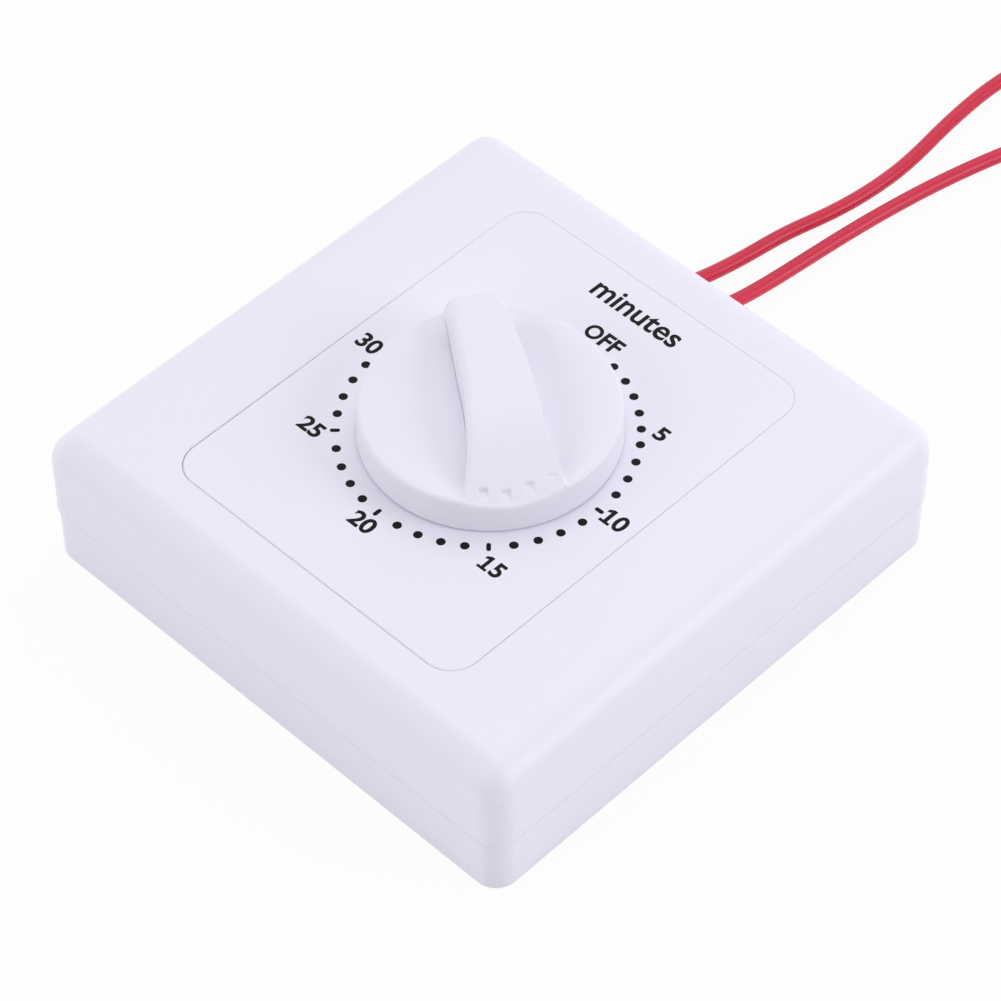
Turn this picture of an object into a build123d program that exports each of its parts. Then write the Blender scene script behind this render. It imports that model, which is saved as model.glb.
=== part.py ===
from build123d import *
import os
from math import atan2, cos, degrees, floor, hypot, pi, radians, sin, tan

# Countdown timer switch. Millimetres, +Z out of the front, +Y towards the side the leads leave,
# origin at the middle of the back face.

# Case
case_side = 86.0
case_depth = 22.6
case_wall = 2.0
case_corner_radius = 3.4
cover_edge_radius = 4.6
cover_top_wall = 2.2
back_box_height = 9.0
back_wall = 2.0
back_box_inset = 0.15
lip_height = 2.0
lip_thickness = 1.0
lip_gap = 0.15
wall_hole_pitch = 60.3
wall_hole_radius = 2.15
wall_boss_radius = 5.0
wall_boss_height = 1.2

# Face panel, set flush in the front of the cover
panel_width = 53.2
panel_length = 68.4
panel_thickness = 2.0
panel_corner_radius = 4.4
panel_gap = 0.12
panel_edge_radius = 0.25
panel_hole_radius = 6.6
recess_floor = 2.0
recess_rim = 2.0
peg_radius = 1.2
peg_length = 1.8
peg_gap = 0.05
peg_x_share = 0.3
peg_y_share = 0.82

# Screws that hold the cover to the back box, under the panel
cover_screw_inset = 5.2
cover_screw_radius = 1.45
cover_screw_head_radius = 2.8
cover_screw_grip = 8.0
cover_screw_gap = 0.05
post_radius = 3.6
cover_boss_length = 5.0
slot_width = 0.6
slot_depth = 0.6

# Movement plates
plate_width = 44.0
plate_length = 45.0
plate_offset = 2.0
plate_thickness = 1.2
plate_spacing = 9.6
plate_corner_radius = 3.0
pillar_radius = 2.0
pillar_inset = 3.2
rivet_radius = 1.3
rivet_head_radius = 2.1
rivet_head_height = 0.5
pivot_radius = 0.4
pivot_gap = 0.03
movement_screw_x = 14.5
movement_screw_y = 9.0
movement_screw_radius = 1.45
movement_screw_head_radius = 2.8
movement_screw_length = 3.6

# Main arbor and what it carries. The grip bar's nose points along +X before the turn.
minutes = 30
dial_sweep = 270.0
rest_minutes = 14.03
arbor_radius = 3.2
shaft_radius = 3.0
shaft_flat_share = 0.5
tail_radius = 1.5
running_gap = 0.05
end_play = 0.1
bush_radius = 4.6
bush_flange_radius = 5.8
bush_flange_height = 1.0
collar_radius = 5.2
collar_height = 0.6
friction_washer_thickness = 0.4
friction_washer_arms = 3
friction_washer_radius = 7.0
wheel_clip_radius = 5.0
wheel_clip_thickness = 0.5
wheel_clip_slot = 2.2
stop_washer_thickness = 0.7
stop_washer_radius = 5.0
stop_tongue_reach = 9.0
stop_tongue_half_angle = 12.0
stop_pin_radius = 1.0
stop_pin_circle = 7.8
stop_clearance_angle = 2.0

# Going train. Each wheel drives the pinion on the next arbor.
great_teeth = 60
great_module = 0.5
second_pinion_leaves = 10
train_teeth = 32
train_module = 0.4
train_pinion_leaves = 8
mesh_slack = 0.05
great_wheel_thickness = 1.2
train_wheel_thickness = 0.8
pinion_overlap = 0.4
train_step = 2.2
train_arbor_radius = 0.8
wheel_seat_radius = 1.0
second_angle = -135.0
third_angle = -35.0
escape_angle = -3.0
tooth_share = 0.72
leaf_share = 0.62
wheel_tip_share = 0.5
wheel_root_share = 1.15
leaf_tip_share = 0.6
leaf_root_share = 0.85
wheel_addendum_share = 0.9
wheel_dedendum_share = 1.2
leaf_addendum_share = 0.8
leaf_dedendum_share = 1.3
spokes = 4
spoke_rim_share = 0.8
spoke_hub_share = 0.36
spoke_width_share = 0.16
escape_teeth = 15
escape_radius = 4.8
escape_root_share = 0.76
escape_lean_share = 0.62
pallet_distance = 7.4
pallet_angle = 20.0
pallet_hub_radius = 1.5
pallet_arm_width = 0.9
pallet_span_angle = 38.0
pallet_clearance = 0.75
pallet_tail = 4.2
pallet_weight_radius = 1.7

# Mainspring, a strip wound in half turns
spring_width = 5.0
spring_strip = 0.4
spring_pitch = 1.1
spring_turns = 5
spring_arbor_gap = 0.25
spring_end_run = 5.0
spring_post_radius = 0.9
spring_post_gap = 0.05
spring_post_spigot = 0.6

# Switch behind the back plate
cam_thickness = 2.4
cam_radius = 7.2
cam_lobe_reach = 8.55
cam_lobe_radius = 1.6
cam_bottom = 3.2
block_bottom = 2.8
block_half_width = 16.2
block_front = 13.5
block_back = 18.5
ledge_thickness = 0.8
ledge_front = 7.6
foot_width = 4.0
arm_line = 9.45
arm_thickness = 0.3
arm_width = 2.4
arm_bottom = 3.2
arm_end_margin = 0.5
arm_pivot_inset = 3.6
arm_pivot_radius = 0.6
arm_eye_wall = 0.4
follower_radius = 0.9
follower_reach = 8.9
contact_foot_gap = 1.1
contact_radius = 1.1
contact_height = 0.8
contact_rivet_radius = 0.7
contact_rivet_head_radius = 1.2
contact_rivet_head_height = 0.4
lug_thickness = 0.4
lug_width = 2.6
lug_reach = 22.0
bus_width = 1.8
bus_inset = 0.3
block_screw_x = 9.0
block_screw_y = 17.1
block_screw_radius = 0.9
block_screw_head_radius = 1.3
block_screw_head_height = 0.5

# Knob
knob_gap = 0.35
knob_radius = 18.05
knob_top_radius = 17.85
knob_rim_height = 4.95
knob_rim_round = 0.6
knob_skirt_wall = 1.6
knob_top_wall = 2.0
hub_radius = 5.0
hub_drop = 1.9
bore_end_wall = 1.2
knob_fit_gap = 0.05
grip_height = 9.0
grip_sink = 1.8
grip_offset = 0.8
grip_bend = 6.4
grip_tail_base = 4.1
grip_tail_top = 3.6
grip_bend_base = 5.2
grip_bend_top = 4.9
grip_toe_base = 7.3
grip_toe_top = 7.1
grip_toe_height = 4.4
grip_round = 0.7
toe_marks = 4
toe_mark_width = 1.5
toe_mark_length = 1.6
toe_mark_depth = 0.05
toe_mark_step = 11.8
toe_mark_middle = 4.6
toe_mark_radius = 15.4
clip_thickness = 0.4
clip_width = 3.2
clip_length = 5.5

# Leads and what holds them
lead_radius = 1.1
core_radius = 0.55
lead_hole_gap = 0.12
lead_height = 5.0
supply_lead_x = -12.2
load_lead_x = -5.3
core_inner_run = 4.0
core_bare_run = 6.0
lead_arc_share = 0.45
clamp_setback = 7.0
clamp_width = 3.0
clamp_height = 2.2
clamp_overhang = 5.6
clamp_corner = 1.2
clamp_leg_radius = 1.5
clamp_screw_radius = 1.1
clamp_screw_head_radius = 2.0
clamp_screw_head_height = 1.2
clamp_screw_bite = 2.8

# Routes of the leads from the solder tag out to the bare end, one free point each row
supply_route = [
    (-12.2, 22.6, 3.9), (-12.2, 30.8, 5.0), (-12.2, 47.0, 5.0), (-11.6, 55.0, 2.3),
    (-10.8, 63.0, 1.1), (-9.7, 71.5, 1.1), (-7.4, 80.0, 1.1), (-6.3, 88.0, 1.1),
    (-6.2, 96.0, 1.1), (-7.6, 107.0, 1.1), (-8.0, 119.0, 1.1), (-5.5, 132.0, 1.1),
    (-1.5, 146.0, 1.1), (0.5, 160.0, 1.1), (-1.0, 174.0, 1.1), (-5.5, 187.0, 1.1),
]
load_route = [
    (-5.3, 22.6, 3.9), (-5.3, 30.8, 5.0), (-5.3, 47.0, 5.0), (-4.9, 55.0, 2.3),
    (-4.6, 62.5, 1.1), (-3.8, 70.5, 1.1), (-2.9, 79.0, 1.1), (-1.7, 87.5, 1.1),
    (0.1, 97.0, 1.1), (3.0, 108.0, 1.1), (7.2, 119.0, 1.1), (11.5, 131.0, 1.1),
    (13.5, 145.0, 1.1), (12.0, 158.0, 1.1), (13.5, 171.0, 1.1), (19.0, 184.0, 1.1),
]

overrun = 1.0
base = (Align.CENTER, Align.CENTER, Align.MIN)

# Levels, from the back face up
seam_z = back_box_height
recess_top = case_depth - panel_thickness
movement_top = recess_top - recess_floor
front_plate_under = movement_top - plate_thickness
back_plate_top = front_plate_under - plate_spacing
movement_under = back_plate_top - plate_thickness
great_bottom = back_plate_top + wheel_clip_thickness + end_play + end_play + end_play
great_top = great_bottom + great_wheel_thickness
collar_bottom = great_top + friction_washer_thickness
collar_top = collar_bottom + collar_height
second_wheel_bottom = great_top + train_step / 2
third_wheel_bottom = second_wheel_bottom + train_step
escape_wheel_bottom = third_wheel_bottom + train_step / 2 + train_wheel_thickness
stop_top = front_plate_under - end_play - end_play
stop_bottom = stop_top - stop_washer_thickness
spring_top = stop_bottom - end_play - end_play - end_play
spring_bottom = spring_top - spring_width
knob_bottom = case_depth + knob_gap
rim_top = knob_bottom + knob_rim_height
grip_top = case_depth + grip_height
shaft_top = grip_top - bore_end_wall - end_play

# Places worked out from the sizes above
contact_x = block_half_width - foot_width - contact_foot_gap - contact_radius
arm_tip = contact_x + contact_radius + arm_end_margin
arm_pivot_x = arm_pivot_inset - block_half_width
clamp_y = case_side / 2 - clamp_setback
screw_x = panel_width / 2 - cover_screw_inset
screw_y = panel_length / 2 - cover_screw_inset
plate_places = [
    (sx * (plate_width / 2 - pillar_inset), sy * (plate_length / 2 - pillar_inset) - plate_offset)
    for sx in (-1, 1) for sy in (-1, 1)
]
movement_screw_places = [(sx * movement_screw_x, movement_screw_y) for sx in (-1, 1)]
block_screw_places = [(sx * block_screw_x, block_screw_y) for sx in (-1, 1)]
degrees_per_minute = dial_sweep / minutes
knob_angle = 90 - degrees_per_minute * rest_minutes
turn_to_off = degrees_per_minute * rest_minutes
turn_to_full = dial_sweep - turn_to_off


def polar(start, radius, angle):
    return (start[0] + radius * cos(radians(angle)), start[1] + radius * sin(radians(angle)))


second_distance = great_module * (great_teeth + second_pinion_leaves) / 2 + mesh_slack
train_distance = train_module * (train_teeth + train_pinion_leaves) / 2 + mesh_slack
second_place = polar((0, 0), second_distance, second_angle)
third_place = polar(second_place, train_distance, third_angle)
escape_place = polar(third_place, train_distance, escape_angle)
pallet_place = polar(escape_place, pallet_distance, pallet_angle)


def disc(radius, bottom, top, at=(0, 0)):
    return Pos(at[0], at[1], bottom) * Cylinder(radius, top - bottom, align=base)


def ring(outer, inner, bottom, top, at=(0, 0)):
    return disc(outer, bottom, top, at) - disc(inner, bottom - overrun, top + overrun, at)


def slab(width, length, bottom, top, at=(0, 0), corner=0):
    outline = RectangleRounded(width, length, corner) if corner else Rectangle(width, length)
    return Pos(at[0], at[1], bottom) * extrude(outline, top - bottom)


def span(x0, x1, y0, y1, bottom, top):
    return slab(x1 - x0, y1 - y0, bottom, top, ((x0 + x1) / 2, (y0 + y1) / 2))


def link(start, end, width, bottom, top):
    run = hypot(end[0] - start[0], end[1] - start[1])
    turn = degrees(atan2(end[1] - start[1], end[0] - start[0]))
    middle = ((start[0] + end[0]) / 2, (start[1] + end[1]) / 2)
    bar = extrude(Rectangle(run, width), top - bottom)
    return Pos(middle[0], middle[1], bottom) * Rot(0, 0, turn) * bar


def prism(points, bottom, top):
    return Pos(0, 0, bottom) * extrude(make_face(Polyline(*points, close=True)), top - bottom)


def screw_cone(shank_radius, head_radius, seat_top, at):
    head_height = head_radius - shank_radius
    cone = Cone(shank_radius, head_radius, head_height, align=base)
    return Pos(at[0], at[1], seat_top - head_height) * cone


def flat_head_screw(shank_radius, head_radius, seat_top, tip, at):
    """Countersunk screw whose head is flush at seat_top, with one straight slot."""
    head = screw_cone(shank_radius, head_radius, seat_top, at)
    slot = slab(head_radius * 2, slot_width, seat_top - slot_depth, seat_top + overrun, at)
    return disc(shank_radius, tip, seat_top - head_radius + shank_radius, at) + head - slot


def countersink(shank_radius, head_radius, seat_top, bottom, at):
    """What a flat-headed screw takes out of the wall that it sits in."""
    head = screw_cone(shank_radius, head_radius, seat_top, at)
    return head + disc(shank_radius + cover_screw_gap, bottom, seat_top, at)


# Case

def cover_form(grow, edge_radius, corner_radius, bottom, top):
    """Block with rounded upright corners and a larger round along its top edges."""
    side = case_side + 2 * grow
    block = slab(side, side, bottom, top)
    block = fillet(block.edges().group_by(Axis.Z)[-1], edge_radius)
    near = side / 2 - edge_radius
    corners = [
        edge for edge in block.edges()
        if min(abs(edge.center().X), abs(edge.center().Y)) > near
    ]
    return fillet(corners, corner_radius)


def make_front_cover():
    shell = cover_form(0, cover_edge_radius, case_corner_radius, seam_z, case_depth)
    cavity = cover_form(
        -case_wall, cover_edge_radius - case_wall, case_corner_radius - case_wall,
        seam_z - overrun, case_depth - cover_top_wall,
    )
    shell -= cavity
    pocket_width = panel_width + 2 * panel_gap
    pocket_length = panel_length + 2 * panel_gap
    pocket_corner = panel_corner_radius + panel_gap
    shell += slab(
        pocket_width + 2 * recess_rim, pocket_length + 2 * recess_rim, movement_top,
        case_depth - cover_top_wall / 2, corner=pocket_corner + recess_rim,
    )
    shell -= slab(pocket_width, pocket_length, recess_top, case_depth + overrun, corner=pocket_corner)
    for place in [(sx * screw_x, sy * screw_y) for sx in (-1, 1) for sy in (-1, 1)]:
        boss_bottom = movement_top - cover_boss_length
        shell += disc(post_radius, boss_bottom, movement_top, place)
        shell -= countersink(
            cover_screw_radius, cover_screw_head_radius, recess_top, boss_bottom - overrun, place
        )
    for place in movement_screw_places:
        shell -= countersink(
            movement_screw_radius, movement_screw_head_radius, recess_top, movement_top - overrun, place
        )
    for place in peg_places():
        shell -= disc(peg_radius + peg_gap, movement_top - overrun, recess_top + overrun, place)
    return shell - disc(panel_hole_radius, movement_top - overrun, recess_top + overrun)


def peg_places():
    return [
        (sx * peg_x_share * panel_width / 2, sy * peg_y_share * panel_length / 2)
        for sx in (-1, 1) for sy in (-1, 1)
    ]


def make_face_panel():
    plate = slab(panel_width, panel_length, recess_top, case_depth, corner=panel_corner_radius)
    plate = fillet(plate.edges().group_by(Axis.Z)[-1], panel_edge_radius)
    for place in peg_places():
        plate += disc(peg_radius, recess_top - peg_length, recess_top, place)
    return plate - disc(panel_hole_radius, recess_top - overrun, case_depth + overrun)


def make_cover_screws():
    tip = movement_top - cover_boss_length - cover_screw_grip
    return Compound(children=[
        flat_head_screw(cover_screw_radius, cover_screw_head_radius, recess_top, tip, place)
        for place in [(sx * screw_x, sy * screw_y) for sx in (-1, 1) for sy in (-1, 1)]
    ])


def make_back_box():
    side = case_side - 2 * back_box_inset
    box = slab(side, side, 0, seam_z, corner=case_corner_radius)
    inner = side - 2 * case_wall
    inner_corner = case_corner_radius - case_wall
    box -= slab(inner, inner, back_wall, seam_z + overrun, corner=inner_corner)
    lip_side = case_side - 2 * case_wall - 2 * lip_gap
    lip = slab(lip_side, lip_side, back_wall, seam_z + lip_height, corner=inner_corner)
    lip -= slab(
        lip_side - 2 * lip_thickness, lip_side - 2 * lip_thickness, back_wall - overrun,
        seam_z + lip_height + overrun, corner=inner_corner,
    )
    box += lip
    boss_top = movement_top - cover_boss_length
    for place in [(sx * screw_x, sy * screw_y) for sx in (-1, 1) for sy in (-1, 1)]:
        box += disc(post_radius, back_wall / 2, boss_top, place)
        hole_bottom = boss_top - cover_screw_grip - end_play
        box -= disc(cover_screw_radius + cover_screw_gap, hole_bottom, boss_top + overrun, place)
    for side_sign in (-1, 1):
        place = (side_sign * wall_hole_pitch / 2, 0)
        box += disc(wall_boss_radius, back_wall / 2, back_wall + wall_boss_height, place)
        box -= disc(wall_hole_radius, -overrun, back_wall + wall_boss_height + overrun, place)
    clamp_from, clamp_to = clamp_ends()
    rib_top = lead_height - lead_radius
    box += span(
        clamp_from, clamp_to, clamp_y - clamp_width / 2, clamp_y + clamp_width / 2, back_wall / 2, rib_top
    )
    for place in clamp_screw_places():
        hole_bottom = rib_top - clamp_screw_bite - end_play
        box -= disc(clamp_screw_radius + cover_screw_gap, hole_bottom, rib_top + overrun, place)
    for x in (supply_lead_x, load_lead_x):
        hole = Cylinder(lead_radius + lead_hole_gap, case_wall * 3 + lip_thickness * 2)
        box -= Pos(x, case_side / 2 - case_wall, lead_height) * Rot(90, 0, 0) * hole
    return box


def clamp_ends():
    return (supply_lead_x - clamp_overhang, load_lead_x + clamp_overhang)


def clamp_screw_places():
    clamp_from, clamp_to = clamp_ends()
    return [(clamp_from + clamp_screw_head_radius, clamp_y), (clamp_to - clamp_screw_head_radius, clamp_y)]


def make_lead_clamp():
    clamp_from, clamp_to = clamp_ends()
    bottom = lead_height + lead_radius
    bar = slab(
        clamp_to - clamp_from, clamp_width, bottom, bottom + clamp_height,
        ((clamp_from + clamp_to) / 2, clamp_y), clamp_corner,
    )
    rib_top = lead_height - lead_radius
    for place in clamp_screw_places():
        bar += disc(clamp_leg_radius, rib_top, bottom + clamp_height / 2, place)
        bar -= disc(
            clamp_screw_radius + cover_screw_gap, rib_top - overrun, bottom + clamp_height + overrun, place
        )
    return bar


def make_clamp_screws():
    tip = lead_height - lead_radius - clamp_screw_bite
    top = lead_height + lead_radius + clamp_height
    screws = []
    for place in clamp_screw_places():
        screw = disc(clamp_screw_radius, tip, top, place)
        head = disc(clamp_screw_head_radius, top, top + clamp_screw_head_height, place)
        slot_z = top + clamp_screw_head_height - slot_depth
        head -= slab(clamp_screw_head_radius * 2, slot_width, slot_z, top + overrun + overrun, place)
        screws.append(screw + head)
    return Compound(children=screws)


# Movement plates and what is fixed to them

def make_plate(bottom, top, holes):
    plate = slab(plate_width, plate_length, bottom, top, (0, -plate_offset), plate_corner_radius)
    for place, radius in holes:
        plate -= disc(radius, bottom - overrun, top + overrun, place)
    return plate


def shared_holes():
    holes = [(place, rivet_radius) for place in plate_places]
    for place in (second_place, third_place, escape_place, pallet_place):
        holes.append((place, pivot_radius + pivot_gap))
    return holes


def make_front_plate():
    holes = shared_holes() + [((0, 0), bush_radius), (spring_post_place(), spring_post_spigot)]
    holes += [(place, movement_screw_radius) for place in movement_screw_places]
    holes += [(place, stop_pin_radius) for place in stop_pin_places()]
    return make_plate(front_plate_under, movement_top, holes)


def make_back_plate():
    holes = shared_holes() + [((0, 0), tail_radius + running_gap)]
    holes += [(place, block_screw_radius) for place in block_screw_places]
    return make_plate(movement_under, back_plate_top, holes)


def make_plate_pillars():
    pillars = []
    for place in plate_places:
        pillar = disc(rivet_radius, movement_under, movement_top, place)
        pillar += disc(pillar_radius, back_plate_top, front_plate_under, place)
        pillar += disc(rivet_head_radius, movement_under - rivet_head_height, movement_under, place)
        pillars.append(pillar)
    return Compound(children=pillars)


def make_arbor_bush():
    bush = disc(bush_radius, front_plate_under, movement_top)
    bush += disc(bush_flange_radius, movement_top, movement_top + bush_flange_height)
    return bush - disc(shaft_radius + running_gap, front_plate_under - overrun, recess_top + overrun)


def stop_pin_places():
    """One pin just past the tongue at OFF, the other just past it at full time."""
    pin_half = degrees(atan2(stop_pin_radius, stop_pin_circle))
    reach = stop_tongue_half_angle + pin_half + stop_clearance_angle
    return [
        polar((0, 0), stop_pin_circle, knob_angle + turn_to_off + reach),
        polar((0, 0), stop_pin_circle, knob_angle - turn_to_full - reach),
    ]


def make_stop_pins():
    return Compound(children=[
        disc(stop_pin_radius, stop_bottom, movement_top, place) for place in stop_pin_places()
    ])


def make_movement_screws():
    tip = recess_top - movement_screw_length
    return Compound(children=[
        flat_head_screw(movement_screw_radius, movement_screw_head_radius, recess_top, tip, place)
        for place in movement_screw_places
    ])


def spring_radius(half_turns):
    return arbor_radius + spring_arbor_gap + spring_strip / 2 + half_turns * spring_pitch / 2


def spring_post_place():
    eye = spring_post_radius + spring_post_gap + spring_strip / 2
    return (spring_radius(2 * spring_turns) + eye, -spring_end_run)


def make_mainspring():
    """Half rings, each half a pitch larger than the last, then a straight run to an eye on the post."""
    strip = None
    for half in range(2 * spring_turns + 1):
        middle = spring_radius(half)
        centre = (0, 0) if half % 2 == 0 else (-spring_pitch / 2, 0)
        band = ring(middle + spring_strip / 2, middle - spring_strip / 2, spring_bottom, spring_top, centre)
        reach = middle + spring_pitch
        sign = 1 if half % 2 == 0 else -1
        keep = span(centre[0] - reach, centre[0] + reach, 0, reach, spring_bottom, spring_top)
        if sign < 0:
            keep = span(centre[0] - reach, centre[0] + reach, -reach, 0, spring_bottom, spring_top)
        band = band & keep
        strip = band if strip is None else strip + band
    end_x = spring_radius(2 * spring_turns)
    strip += span(
        end_x - spring_strip / 2, end_x + spring_strip / 2, -spring_end_run, 0, spring_bottom, spring_top
    )
    inner = spring_post_radius + spring_post_gap
    eye = ring(inner + spring_strip, inner, spring_bottom, spring_top, spring_post_place())
    return strip + eye


def make_spring_post():
    """Post riveted in the front plate, reaching down through the spring's eye."""
    post = disc(spring_post_radius, spring_bottom, front_plate_under, spring_post_place())
    return post + disc(spring_post_spigot, front_plate_under, movement_top, spring_post_place())


# Wheels and pinions

def toothed_outline(teeth, module, phase, share, tip_share, root_share, addendum, dedendum):
    """Straight-sided teeth, each a knee at the pitch circle, one centred at the phase angle."""
    pitch_radius = module * teeth / 2
    half = share * 90 / teeth
    stations = (
        (pitch_radius - dedendum * module, -half * root_share),
        (pitch_radius, -half),
        (pitch_radius + addendum * module, -half * tip_share),
        (pitch_radius + addendum * module, half * tip_share),
        (pitch_radius, half),
        (pitch_radius - dedendum * module, half * root_share),
    )
    return [
        polar((0, 0), radius, phase + 360 * tooth / teeth + offset)
        for tooth in range(teeth) for radius, offset in stations
    ]


def toothed_wheel(teeth, module, phase, bore, bottom, top, place):
    outline = toothed_outline(
        teeth, module, phase, tooth_share, wheel_tip_share, wheel_root_share,
        wheel_addendum_share, wheel_dedendum_share,
    )
    wheel = prism(outline, bottom, top)
    pitch_radius = module * teeth / 2
    hub = bore + pitch_radius * spoke_hub_share / 2
    window = ring(pitch_radius * spoke_rim_share, hub, bottom - overrun, top + overrun)
    for spoke in range(spokes):
        end = polar((0, 0), pitch_radius, phase + 360 * (spoke + 0.5) / spokes)
        window -= link((0, 0), end, pitch_radius * spoke_width_share, bottom - overrun, top + overrun)
    wheel -= window
    wheel -= disc(bore, bottom - overrun, top + overrun)
    return Pos(place[0], place[1], 0) * wheel


def pinion(leaves, module, phase, bottom, top):
    outline = toothed_outline(
        leaves, module, phase, leaf_share, leaf_tip_share, leaf_root_share,
        leaf_addendum_share, leaf_dedendum_share,
    )
    return prism(outline, bottom, top)


def train_arbor(leaves, module, phase, pinion_bottom, pinion_top, seat_bottom, seat_top, place):
    """Arbor with its leaves cut in it, a seat for its wheel and a pivot at each end."""
    arbor = disc(train_arbor_radius, back_plate_top + end_play, front_plate_under - end_play)
    arbor += pinion(leaves, module, phase, pinion_bottom, pinion_top)
    arbor += disc(wheel_seat_radius, seat_bottom, seat_top)
    arbor += disc(pivot_radius, movement_under, movement_top)
    return Pos(place[0], place[1], 0) * arbor


def gap_phase(leaves, angle):
    """Phase that turns a gap between two leaves to face the wheel at this angle."""
    return angle + 180 + 180 / leaves


def make_second_arbor():
    return train_arbor(
        second_pinion_leaves, great_module, gap_phase(second_pinion_leaves, second_angle),
        great_bottom - pinion_overlap, great_top + pinion_overlap,
        great_top + pinion_overlap, second_wheel_bottom + train_wheel_thickness, second_place,
    )


def make_third_arbor():
    return train_arbor(
        train_pinion_leaves, train_module, gap_phase(train_pinion_leaves, third_angle),
        second_wheel_bottom - pinion_overlap, second_wheel_bottom + train_wheel_thickness + pinion_overlap,
        second_wheel_bottom + train_wheel_thickness + pinion_overlap,
        third_wheel_bottom + train_wheel_thickness, third_place,
    )


def make_escape_arbor():
    return train_arbor(
        train_pinion_leaves, train_module, gap_phase(train_pinion_leaves, escape_angle),
        third_wheel_bottom - pinion_overlap, third_wheel_bottom + train_wheel_thickness + pinion_overlap,
        third_wheel_bottom + train_wheel_thickness + pinion_overlap,
        escape_wheel_bottom + train_wheel_thickness, escape_place,
    )


def make_great_wheel():
    return toothed_wheel(
        great_teeth, great_module, second_angle, arbor_radius, great_bottom, great_top, (0, 0)
    )


def make_second_wheel():
    top = second_wheel_bottom + train_wheel_thickness
    return toothed_wheel(
        train_teeth, train_module, third_angle, wheel_seat_radius, second_wheel_bottom, top, second_place
    )


def make_third_wheel():
    top = third_wheel_bottom + train_wheel_thickness
    return toothed_wheel(
        train_teeth, train_module, escape_angle, wheel_seat_radius, third_wheel_bottom, top, third_place
    )


def make_escape_wheel():
    """Saw teeth whose points lean one way."""
    step = 360 / escape_teeth
    points = []
    for tooth in range(escape_teeth):
        points.append(polar((0, 0), escape_radius * escape_root_share, tooth * step))
        points.append(polar((0, 0), escape_radius, (tooth + escape_lean_share) * step))
        points.append(polar((0, 0), escape_radius * escape_root_share, (tooth + escape_lean_share) * step))
    top = escape_wheel_bottom + train_wheel_thickness
    wheel = prism(points, escape_wheel_bottom, top)
    wheel -= disc(wheel_seat_radius, escape_wheel_bottom - overrun, top + overrun)
    return Pos(escape_place[0], escape_place[1], 0) * wheel


def make_pallet_arbor():
    arbor = disc(train_arbor_radius, back_plate_top + end_play, front_plate_under - end_play, pallet_place)
    return arbor + disc(pivot_radius, movement_under, movement_top, pallet_place)


def make_pallet_lever():
    """Anchor whose two arms reach over the escape wheel, with a weight on its tail."""
    bottom = escape_wheel_bottom
    top = bottom + train_wheel_thickness
    lever = disc(pallet_hub_radius, bottom, top, pallet_place)
    for side_sign in (-1, 1):
        tip = polar(
            escape_place, escape_radius + pallet_clearance + pallet_arm_width / 2,
            pallet_angle + side_sign * pallet_span_angle,
        )
        lever += link(pallet_place, tip, pallet_arm_width, bottom, top)
        lever += disc(pallet_arm_width / 2, bottom, top, tip)
    tail = polar(pallet_place, pallet_tail, pallet_angle)
    lever += link(pallet_place, tail, pallet_arm_width, bottom, top)
    lever += disc(pallet_weight_radius, bottom, top, tail)
    return lever - disc(train_arbor_radius, bottom - overrun, top + overrun, pallet_place)


# What turns with the knob, made with the nose along +X and then turned to the rest angle

def at_rest(shape):
    return Rot(0, 0, knob_angle) * shape


def make_main_arbor():
    arbor = disc(tail_radius, cam_bottom, back_plate_top + end_play)
    arbor += disc(arbor_radius, back_plate_top + end_play, front_plate_under - end_play)
    arbor += disc(collar_radius, collar_bottom, collar_top)
    arbor += disc(shaft_radius, front_plate_under - end_play, shaft_top)
    flat_x = -shaft_radius * shaft_flat_share
    arbor -= span(
        -shaft_radius * 2, flat_x, -shaft_radius * 2, shaft_radius * 2, recess_top, shaft_top + overrun
    )
    return at_rest(arbor)


def make_friction_washer():
    washer = disc(collar_radius, great_top, collar_bottom)
    for arm in range(friction_washer_arms):
        tip = polar((0, 0), friction_washer_radius, 360 * arm / friction_washer_arms)
        washer += link((0, 0), tip, collar_radius, great_top, collar_bottom)
    return at_rest(washer - disc(arbor_radius, great_top - overrun, collar_bottom + overrun))


def make_wheel_clip():
    bottom = great_bottom - wheel_clip_thickness
    clip = ring(wheel_clip_radius, arbor_radius, bottom, great_bottom)
    clip -= span(
        0, wheel_clip_radius * 2, -wheel_clip_slot / 2, wheel_clip_slot / 2, bottom - overrun, great_top
    )
    return at_rest(clip)


def make_stop_washer():
    washer = disc(stop_washer_radius, stop_bottom, stop_top)
    arc = [
        polar((0, 0), stop_tongue_reach, stop_tongue_half_angle * share)
        for share in (-1, 0, 1)
    ]
    washer += prism([(0, 0)] + arc, stop_bottom, stop_top)
    return at_rest(washer - disc(arbor_radius, stop_bottom - overrun, stop_top + overrun))


def make_switch_cam():
    """Round cam with one lobe in line with the knob's nose, under the contact arm at OFF."""
    top = cam_bottom + cam_thickness
    cam = disc(cam_radius, cam_bottom, top)
    cam += disc(cam_lobe_radius, cam_bottom, top, (cam_lobe_reach - cam_lobe_radius, 0))
    return at_rest(cam - disc(tail_radius, cam_bottom - overrun, top + overrun))


def grip_section(x, base_half, top_half, bottom, top):
    """Cross-section of the grip bar, wider at its foot."""
    points = [
        (x, grip_offset - base_half, bottom), (x, grip_offset + base_half, bottom),
        (x, grip_offset + top_half, top), (x, grip_offset - top_half, top),
    ]
    return make_face(Polyline(*points, close=True))


def nose_slope():
    """Fall of the nose for each step out from the bend."""
    return (grip_height - grip_toe_height) / (knob_top_radius - grip_bend)


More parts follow.
